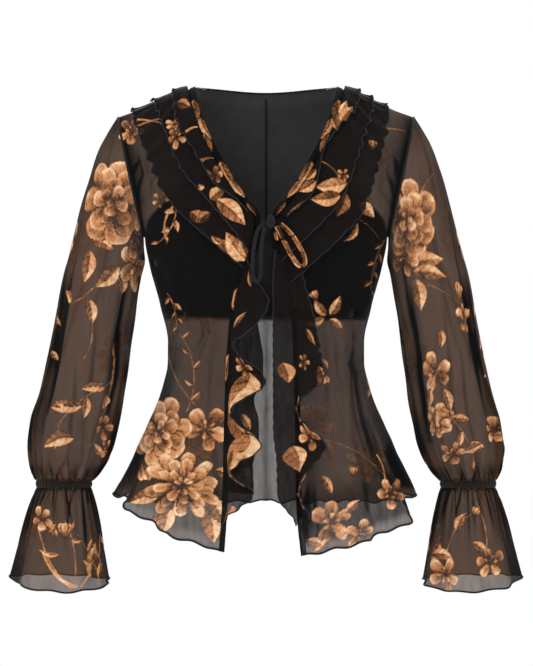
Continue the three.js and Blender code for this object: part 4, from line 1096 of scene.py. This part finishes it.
def buildCuff(side, piece):
    # oval rings that widen to the hem with rippled radius, a small wave rolled into the hem
    turn, v = roundGrid(240, 76)
    flare = v ** cuff["flare"]
    half, depth = lerp(wrist["half"], cuff["half"], flare), lerp(wrist["depth"], cuff["depth"], flare)
    roll = np.exp(-(1 - v) * spans["cuff"] / 9)
    pleat = 1.1 * np.sin(pi * np.clip(v * 1.5, 0, 1)) * np.cos(24 * turn + 1.2 * np.sin(3 * turn + side))
    pleat = pleat + 0.9 * np.cos(13 * turn + 2 * np.sin(2 * turn)) * v * (1 - 0.5 * v)
    gathers = gatherLines(turn, v / 0.8, 30, piece["seed"] + 40)
    pleat = pleat - 1.4 * gathers * ramp(0, 0.05, v)
    ripple = cuff["wave"] * v * np.cos(cuff["waves"] * turn) + pleat + 0.5 * roll * np.cos(11 * turn + side)
    factor = 1 + ripple / depth
    middleX = lerp(wrist["x"], cuff["x"], v)
    x = middleX + half * np.cos(turn) * factor
    y = lerp(wrist["y"], cuff["y"], v) - depth * np.sin(turn) * factor
    low = cuff["sag"] * np.sin(turn / 2) ** 2 + cuff["drop"] * np.maximum(np.sin(turn), 0)
    z = lerp(cuff["topZ"], cuff["hemZ"], v) - v * low + 0.9 * roll * np.cos(9 * turn + 1 + side)
    points = np.stack([side * x, y, z], -1)
    planeX = side * (middleX - half * fromFront(turn))
    art = Print(planeX, z, piece["seed"] + 20).draw(piece["cuffMotifs"])
    art["thick"] = 0.7 * bell(v * spans["cuff"], 3) + 0.5 * ramp(0.985, 1, v)
    # painted shade in the pleats' troughs near the wrist, along the cuff's sides, in the ripple's troughs and
    # along the gathers
    art["thick"] += 0.7 * np.exp(-v * 2.6) * np.clip(0.3 - 0.5 * pleat, 0, 1)
    art["thick"] += 0.95 * np.abs(np.cos(turn + 0.1 * np.sin(5 * v + side))) ** 4
    art["thick"] += 0.3 * np.clip(-ripple / 4, 0, 1) + 0.85 * gathers
    obj = makeSheet(piece["cuffName"], points, cloths["sleeve"], art, closed=True, flip=side < 0)
    hem = makeTube(piece["cuffName"] + "Hem", points[-1], 1.2, hemThread, closed=True, up=(0, 0, 1))
    dress(piece["cuffNode"], "sleeve_cloth", obj, [hem])
    declareSheet(points, closed=True, withPieces=[hem])


def buildWrist(side):
    # narrow gathered tube with small upright ridges
    turn, v = roundGrid(240, 8)
    puff = 1.2 * np.sin(pi * v) + 0.5 * np.cos(40 * turn + 2 * np.sin(3 * turn)) * np.sin(pi * v) - 0.3
    x = wrist["x"] + (wrist["half"] + puff) * np.cos(turn)
    y = wrist["y"] - (wrist["depth"] + puff) * np.sin(turn)
    z = wrist["z"] + 0.8 + (wrist["height"] + 3) * (0.5 - v) + 0.5 * np.cos(19 * turn)
    points = np.stack([side * x, y, z], -1)
    obj = makeSheet("wrist" + sideName(side).title(), points, casingCloth, closed=True, flip=side < 0)
    dress("wrist_casing_" + sideName(side), "band_cloth", obj)
    return obj


for side, piece in sleeves.items():
    buildSleeve(side, piece)
    buildCuff(side, piece)
print("sleeves built")

# collar ruffles
collars = {
    -1: dict(
        inner=named("x z",
            (114, -11), (104, -52), (85, -86), (74, -104), (59, -128), (34, -146), (21, -160),
        ),
        middle=named("x z",
            (142, -22), (122, -54), (110, -84), (93, -117), (72, -141), (46, -172), (20, -207),
        ),
        outer=named("x z",
            (165, -31), (149, -73), (130, -113), (117, -139), (90, -170), (58, -199), (27, -226),
        ),
        motifs=dict(
            outer=named(motif,
                ("stem", -158, -44, 40, -14, 1.2, 0.2, dict(bend=0.06)),
                ("stem", -158, -53, 40, 14, 1.2, 0.1, dict(bend=0.06)),
                ("leaf", -91, -160, 21, -40, 0.4, -0.2), ("leaf", -80, -170, 17, 34, 0.4, -0.25),
                ("leaf", -24, -216, 52, 146, 0.18, 0.05), ("leaf", -24, -216, 44, 156, 0.2, -0.05),
                ("leaf", -22, -219, 44, 126, 0.26, 0.2), ("leaf", -22, -214, 26, 106, 0.3),
            ),
            middle=named(motif,
                ("blossom", -111, -52, 11, 10, dict(squash=0.8, shade=0.15)),
                ("blossom", -108, -68, 15, 60, dict(squash=0.9, shade=0.08)),
                ("bud", -81, -126, 9, -60, dict(shade=0.3)), ("leaf", -67, -146, 24, 38, 0.36),
                ("leaf", -60, -145, 48, -42, 0.24, 0.12),
            ),
            inner=named(motif,
                ("leaf", -109, -24, 19, -20, 0.4, -0.15), ("stem", -97, -63, 16, 26, 1.5, 0.3),
                ("stem", -80, -98, 18, 8), ("stem", -80, -102, 18, 24),
                ("blossom", -62, -116, 12, dict(shade=-0.1)),
            ),
        ),
    ),
    1: dict(
        inner=named("x z",
            (113, -10), (105, -38), (84, -62), (68, -86), (62, -112), (54, -138), (24, -166),
        ),
        middle=named("x z",
            (128, -16), (124, -46), (112, -78), (102, -108), (90, -140), (60, -177), (18, -218),
        ),
        outer=named("x z",
            (145, -23), (143, -66), (132, -100), (121, -136), (106, -168), (72, -203), (30, -242),
        ),
        motifs=dict(
            outer=named(motif,
                ("leaf", 96, -136, 32, -112, 0.3, -0.35), ("bud", 128, -84, 13, 80, dict(shade=-0.1)),
            ),
            middle=named(motif,
                ("leaf", 98, -124, 40, 188, 0.25, 0.2), ("leaf", 90, -140, 38, 187, 0.25, 0.08),
                ("blossom", 93, -115, 8), ("stem", 66, -99, 28, -41, 0.9),
                ("leaf", 112, -96, 16, -110, dict(shade=-0.2)),
            ),
            inner=named(motif,
                ("leaf", 88, -64, 44, 76, 0.24, 0.18), ("leaf", 86, -60, 38, 98, 0.22, 0.05),
                ("leaf", 90, -50, 26, 50, 0.3, 0.1), ("leaf", 60, -122, 26, 212, 0.28, 0.1),
                ("leaf", 60, -108, 20, 226, 0.24), ("leaf", 48, -146, 30, 216, 0.14),
            ),
        ),
    ),
}
tiers = named("tier step seamEnd growth seed",
    ("outer", 0, -212, 0.06, 31), ("middle", 1, -190, 0.075, 32), ("inner", 2, -163, 0.1, 33),
)


def seamPlace(side, z):
    # height step at which the seam line of the front edge reaches a height
    def isInside(up):
        return bodyPoint(side, "front", edgeAcross(side, up, bandWidth(up)), up)[..., 2] < z

    return searchInside(0.0, 2.0, 30, isInside)


def smoothCurve(rows, at):
    # centripetal cubic through the rows, an equal share of the run for each span
    p = np.asarray(rows, float)
    p = np.concatenate([[2 * p[0] - p[1]], p, [2 * p[-1] - p[-2]]])
    gap = np.sqrt(np.linalg.norm(np.diff(p, axis=0), axis=1))
    place = np.clip(np.asarray(at, float), 0, 1) * (len(p) - 3)
    k = np.minimum(place.astype(int), len(p) - 4)
    f = (place - k)[..., None]
    a, b, c = gap[k][..., None], gap[k + 1][..., None], gap[k + 2][..., None]
    before, start, end, after = p[k], p[k + 1], p[k + 2], p[k + 3]
    m = ((start - before) / a - (end - before) / (a + b) + (end - start) / b) * b
    n = ((end - start) / b - (after - start) / (b + c) + (after - end) / c) * b
    return start + m * f + (3 * (end - start) - 2 * m - n) * f**2 + (2 * (start - end) + m + n) * f**3


def finishRuffle(side, name, node, points, art, edges=(("Edge", -1),)):
    # the ruffle's sheet, with an overlocked thread along each free edge
    name = name + sideName(side).title()
    obj = makeSheet(name, points, cloths["ruffle"], art, flip=side < 0)
    threads = [makeTube(name + end, points[:, column], 0.8, threadCloth) for end, column in edges]
    dress(node + "_" + sideName(side), "ruffle_cloth", obj, threads)
    declareSheet(points, withPieces=threads)


def buildTier(side, rows, motifs, tier):
    # seam to free edge on the body form, lifted by its place in the stack, with waves and a rolled edge
    u, v = gridOf(44, 330)
    places = []
    for k, row in enumerate(rows):
        if k == 0:
            places.append((row["x"] / body["shoulderX"], 2.0))
        else:
            places.append(tuple(float(value) for value in bodyPlace("front", row["x"], row["z"])))
    edge = smoothCurve(places, v[:, 0])
    seamHeight = 2 + (seamPlace(side, tier["seamEnd"]) - 2) * v[:, 0]
    seam = edgeAcross(side, seamHeight, bandWidth(seamHeight) + 0.6)
    across = lerp(seam[:, None], edge[:, :1], u)
    up = np.minimum(lerp(seamHeight[:, None], edge[:, 1:], u), 2)
    distance = np.maximum(0, (across - edgeAcross(side, up, bandWidth(up) + 0.6)) * 165)
    loose = 1 - 0.8 * ramp(1.7, 2, up)
    lift = 1.55 + tier["step"] * (1.85 + 1.8 * loose * ramp(0, 7, distance))
    lift = lift + tier["growth"] * loose * distance
    lift = lift + (3.2 + 0.04 * distance) * (1 - ramp(0.96, 1.06, up))
    billow = 1 + np.sin(2 * pi * (7 * (up - 1) + 1.2 * across))
    lift = lift + 1.4 * loose * np.minimum(distance / 60, 1.2) * billow
    flat = bodyPoint(side, "front", across, up)
    along = np.concatenate([[0], np.cumsum(np.linalg.norm(np.diff(flat[:, -1], axis=0), axis=1))])[:, None]
    fromEdge = runLengths(flat[:, ::-1])[:, ::-1]
    roll, near = np.exp(-fromEdge / 6), ramp(0, 12, distance)
    ends = ramp(0, 0.05, v) * ramp(0, 0.04, 1 - v)
    curl = ends * roll * (1 - 0.75 * ramp(0.3, 0.6, v))
    lift = lift + ends * near * (0.8 * np.sin(along / 4.4 + 2 * np.sin(along / 37) + distance / 50))
    lift = lift + curl * (1.2 + 2.2 * np.sin(2 * pi * along / 15 + 2.2 * np.sin(along / 41 + tier["step"])))
    points = offBody(side, "front", across, up, lift)
    wave = 1.9 * curl * np.sin(2 * pi * along / 17 + 1.7 * np.sin(along / 29 + side))
    outward = flat - np.roll(flat, 1, 1)
    outward[:, 0] = outward[:, 1]
    outward /= np.maximum(np.linalg.norm(outward, axis=-1, keepdims=True), 1e-6)
    points = points + outward * wave[..., None]
    art = Print(points[..., 0], points[..., 2], tier["seed"]).draw(motifs)
    art["thick"] = 0.9 * np.exp(-distance / 5) + 0.6 * bell(fromEdge, 1.6)
    finishRuffle(side, "collar" + tier["tier"].title(), "collar_" + tier["tier"], points, art)


for side, collar in collars.items():
    for tier in tiers:
        buildTier(side, collar[tier["tier"]], collar["motifs"][tier["tier"]], tier)
print("collar built")

# cascade ruffles down the front edges
cascade = dict(seamTop=-198, seamEnd=-528, width=46, widthEnd=32, forward=0.5, flapShare=0.4, lift=3.2,
               under=1.4)
cascades = {
    -1: dict(
        folds=named("z x",
            (-205, 24), (-240, 12), (-266, -3), (-320, 35), (-366, 1), (-410, 37), (-442, 6), (-480, 33),
            (-500, 14), (-543, 44),
        ),
        flap=None, seed=41,
        motifs=named(motif,
            ("leaf", 26, -352, 54, -108, 0.3, 0.2), ("leaf", 8, -396, 52, -66, 0.34, 0.12),
            ("leaf", 30, -424, 58, -112, 0.34, 0.28), ("leaf", 12, -446, 46, -70, 0.34, 0.1),
            ("leaf", 20, -510, 26, -60), ("blossom", 22, -345, 12), ("leaf", 10, -300, 24, 60),
            ("leaf", 24, -250, 22, 100), ("bud", 28, -425, 11, 10), ("leaf", 12, -480, 22, 30),
        ),
    ),
    1: dict(
        folds=named("z x",
            (-205, 34), (-233, 43), (-270, 51), (-323, 58), (-364, 64), (-403, 30), (-444, 71), (-500, 30),
            (-536, 46),
        ),
        flap=named("z x", (-205, 11), (-240, 8.6), (-424, 8.6), (-460, 12), (-500, 13), (-536, 33)),
        seed=42,
        motifs=named(motif,
            ("leaf", 8, -380, 34, -72, 0.3, 0.15), ("leaf", 24, -392, 26, -130, 0.34, 0.2),
            ("blossom", 18, -428, 17, dict(shade=0.1)), ("leaf", -6, -440, 34, -76, 0.42, 0.2),
            ("leaf", -12, -340, 26, -80, 0.3), ("leaf", 12, -486, 32, -70, 0.36, 0.22),
            ("leaf", 34, -345, 28, -80, 0.3, -0.1), ("blossom", 12, -340, 10), ("leaf", 22, -300, 24, -60),
            ("leaf", 26, -470, 24, -100), ("bud", 20, -500, 11, 40),
        ),
    ),
}


def buildCascade(side, piece):
    # front edge to free edge; where the free edge swings back to the seam its spare width stands forward
    flap = piece["flap"]
    u, v = gridOf(44 if flap is None else 66, 380)
    seamZ = lerp(cascade["seamTop"], cascade["seamEnd"], v[:, 0])
    up = bodyPlace("front", 30, seamZ)[1]
    seam = edgeAcross(side, up, 3.5)
    seamX = bodyPoint(1, "front", seam, up)[:, 0]

    def endOf(rows):
        z = lerp(rows[0]["z"], rows[-1]["z"], v[:, 0])
        x = readRows(rows, "z", z, "x")
        return x, *bodyPlace("front", x, z)

    outer = endOf(piece["folds"])
    inner = outer if flap is None else endOf(flap)
    split = 0 if flap is None else cascade["flapShare"]
    isFlap = u < split
    share = np.where(isFlap, 1 - u / max(split, 1e-6), (u - split) / (1 - split))
    end = [np.where(isFlap, a[:, None], b[:, None]) for a, b in zip(inner, outer)]
    wide = lerp(cascade["width"], cascade["widthEnd"], v)
    spare = np.sqrt(np.maximum(wide**2 - (end[0] - seamX[:, None]) ** 2, 0))
    openness = ramp(0.13, 0.26, v)
    forward = np.where(isFlap, 1.5 * share, cascade["forward"] * spare * openness * share**1.4)
    forward = forward + 2 * share * openness
    along = v * spans["cascade"]
    roll = np.exp(-(1 - share) * wide / 5)
    ends = ramp(0, 0.03, v) * ramp(0, 0.02, 1 - v)
    ripple = ends * share * 0.7 * np.sin(along / 3.6 + 2 * np.sin(along / 31) + 2 * share)
    ripple = ripple + ends * roll * (0.8 + 1.7 * np.sin(2 * pi * along / 14 + 2 * np.sin(along / 33 + side)))
    across = lerp(seam[:, None], end[1], share)
    height = lerp(up[:, None], end[2], share)
    lift = cascade["lift"] + forward + ripple * np.where(isFlap, 0.5, 1)
    points = offBody(side, "front", across, height, lift)
    sway = ends * roll * 1.2 * np.sin(2 * pi * along / 16 + 1.3)
    points[..., 0] += side * np.where(isFlap, -0.3, 0.7) * sway
    planeX = np.where(isFlap, -share * 18, share * wide)
    art = Print(planeX, points[..., 2], piece["seed"]).draw(piece["motifs"])
    art["thick"] = 0.8 * np.exp(-share * wide / 3) + 0.6 * bell((1 - share) * wide, 1.6)
    edges = [("Edge", -1)] if flap is None else [("Edge", -1), ("FlapEdge", 0)]
    finishRuffle(side, "cascade", "cascade", points, art, edges)


def buildUnder(side, rows):
    # flat layer beside the front band, its free edge between the folds
    u, v = gridOf(20, 260)
    z = lerp(rows[0]["z"], rows[-1]["z"], v[:, 0])
    end = bodyPlace("front", readRows(rows, "z", z, "x"), z)
    up = bodyPlace("front", 30, z)[1]
    seam = edgeAcross(side, up, -0.2)
    along = v * spans["under"]
    roll = np.exp(-(1 - u) * spans["underWide"] / 4)
    lift = cascade["under"] + roll * np.sin(2 * pi * along / 15 + 2 * np.sin(along / 35))
    across = lerp(seam[:, None], end[0][:, None], u)
    points = offBody(side, "front", across, lerp(up[:, None], end[1][:, None], u), lift)
    art = Print(u * spans["underWide"], points[..., 2], 43).draw(named(motif,
        ("leaf", 24, -352, 22, -70), ("leaf", 14, -402, 24, -60), ("blossom", 18, -440, 13),
    ))
    art["thick"] = 0.5 * bell((1 - u) * spans["underWide"], 1.6) + 0.3
    finishRuffle(side, "cascadeUnder", "cascade_under", points, art)


for side, piece in cascades.items():
    buildCascade(side, piece)
buildUnder(-1, named("z x",
    (-225, 18), (-262, 14), (-295, 10.3), (-317, 6.7), (-335, 4), (-360, 4), (-388, 15), (-413, 9.3),
    (-437, 9), (-465, 16), (-500, 15),
))
print("cascades built")


# tie at the bust
tie = dict(lift=12, knotX=5.7, knotZ=-172, knotWide=10, knotHigh=16, knotThick=7)
straps = [
    dict(
        name="tieLoopLeft", node="tie_loop_left", wide=5.6, cloth="band", far="object",
        rows=named("x z",
            (12.2, -171), (21, -178), (31, -188), (40, -202), (46, -215), (46, -223), (40.5, -225),
            (32, -215), (24, -200), (17.5, -187), (12.4, -177.4),
        ),
        motifs=named(motif,
            ("leaf", 17, -174, 22, -44, 0.5), ("leaf", 32, -189, 24, -56, 0.5, 0.1),
            ("leaf", 45, -208, 20, -84, 0.6), ("leaf", 43, -226, 22, 142, 0.5, 0.1),
            ("leaf", 31, -214, 24, 120, 0.5), ("leaf", 20, -192, 18, 116, 0.5, -0.1),
        ),
    ),
    dict(
        name="tieLoopRight", node="tie_loop_right", wide=4.2, cloth=None, far="object",
        rows=named("x z",
            (-1.4, -171), (-9.5, -182), (-14, -200), (-16, -222), (-14.6, -240), (-10.4, -244),
            (-6.6, -236), (-6, -216), (-5, -196), (-1.6, -178.6),
        ),
        motifs=[],
    ),
    dict(
        name="tieTailLeft", node="tie_tail_left", wide=4.2, cloth="band", far="bare",
        rows=named("x z", (9.6, -182.4), (11.6, -188), (12.8, -195)),
        motifs=named(motif, ("leaf", 11, -184, 12, -80, 0.4)),
    ),
]


def tiePath(rows, count):
    # smooth line through the rows, a fixed step in front of the body form
    x, z = np.array([row["x"] for row in rows], float), np.array([row["z"] for row in rows], float)
    across, up = bodyPlace("front", np.abs(x), z)
    y = bodyPoint(1, "front", across, up)[..., 1] - tie["lift"]
    return smoothCurve(np.stack([x, y, z], -1), np.linspace(0, 1, count))


def buildStrap(piece):
    # flattened tube along the strap's path
    count = 24 if piece["far"] == "bare" else 120
    path = tiePath(piece["rows"], count)
    points = tubePoints(path, piece["wide"] / 2, sides=12, flat=0.34)
    if piece["cloth"] is None:
        obj = makeSheet(piece["name"], points, bindingCloth, closed=True)
    else:
        art = Print(points[..., 0], points[..., 2], 51).draw(piece["motifs"])
        art["thick"] = np.ones(points.shape[:2])
        obj = makeSheet(piece["name"], points, cloths["band"], art, closed=True)
    dress(piece["node"], "tie_cloth", obj)
    if piece["far"] == "object":
        tuple(path[0] * 0.001)
        piece["wide"] * 0.001
        [tuple(p) for p in path * 0.001]


def buildKnot():
    # wrapped oval with upright pleats that meet at its top and bottom
    turn, v = roundGrid(64, 40)
    tilt = pi * (v - 0.5)
    pleat = 1 + 0.07 * np.cos(7 * turn + 1.6 * np.sin(2 * tilt)) * np.cos(tilt) + 0.05 * np.cos(3 * tilt)
    middle = tiePath(named("x z", (tie["knotX"], tie["knotZ"]), (tie["knotX"], tie["knotZ"] - 1)), 2)[0]
    x = middle[0] + tie["knotWide"] / 2 * np.cos(tilt) * np.cos(turn) * pleat
    y = middle[1] - tie["knotThick"] / 2 * np.cos(tilt) * np.sin(turn) * pleat
    z = middle[2] - tie["knotHigh"] / 2 * np.sin(tilt)
    points = np.stack([x, y, z], -1)
    obj = makeSheet("tieKnot", points, bindingCloth, closed=True)
    dress("tie_knot", "tie_cloth", obj)


for piece in straps:
    buildStrap(piece)
buildKnot()
print("tie built")

# camera, light and floor
scene = bpy.context.scene
camera = bpy.data.objects.new("camera", bpy.data.cameras.new("camera"))
camera.location = (0.0006, -3.4, -0.305)
camera.rotation_euler = (radians(90), 0, 0)
camera.data.lens = 148.2
camera.data.sensor_width = 36
camera.data.clip_end = 50
scene.collection.objects.link(camera)
scene.camera = camera

world = bpy.data.worlds.new("studio")
scene.world = world
world.use_nodes = True
world.node_tree.nodes["Background"].inputs["Color"].default_value = (1, 1, 1, 1)
world.node_tree.nodes["Background"].inputs["Strength"].default_value = 1.0
lamps = [
    dict(name="keyLight", at=(-1.6, -2.6, 1.6), size=1.6, power=42),
    dict(name="fillLight", at=(2.0, -2.2, 0.6), size=2.2, power=14),
    dict(name="backLight", at=(0.6, 2.4, 1.4), size=2.0, power=18),
]
for lamp in lamps:
    data = bpy.data.lights.new(lamp["name"], "AREA")
    data.energy, data.size = lamp["power"], lamp["size"]
    light = bpy.data.objects.new(lamp["name"], data)
    light.location = lamp["at"]
    towards = Vector((0, 0, -0.3)) - light.location
    light.rotation_euler = towards.to_track_quat("-Z", "Y").to_euler()
    scene.collection.objects.link(light)

rim = np.linspace(0, 2 * pi, 96, endpoint=False)
floorPoints = np.stack([3400 * np.cos(rim), 3400 * np.sin(rim), np.full(96, -1350.0)], -1)
floor = makeMesh("floor", floorPoints, np.arange(96)[None], smooth=False)
floor.data.materials.append(plainCloth("floorPaint", (0.75, 0.75, 0.75, 1), 0.9, 40, 0.02, 0))
scene.view_settings.view_transform = "Standard"
scene.cycles.transparent_max_bounces = 40
print("camera and lights ready")
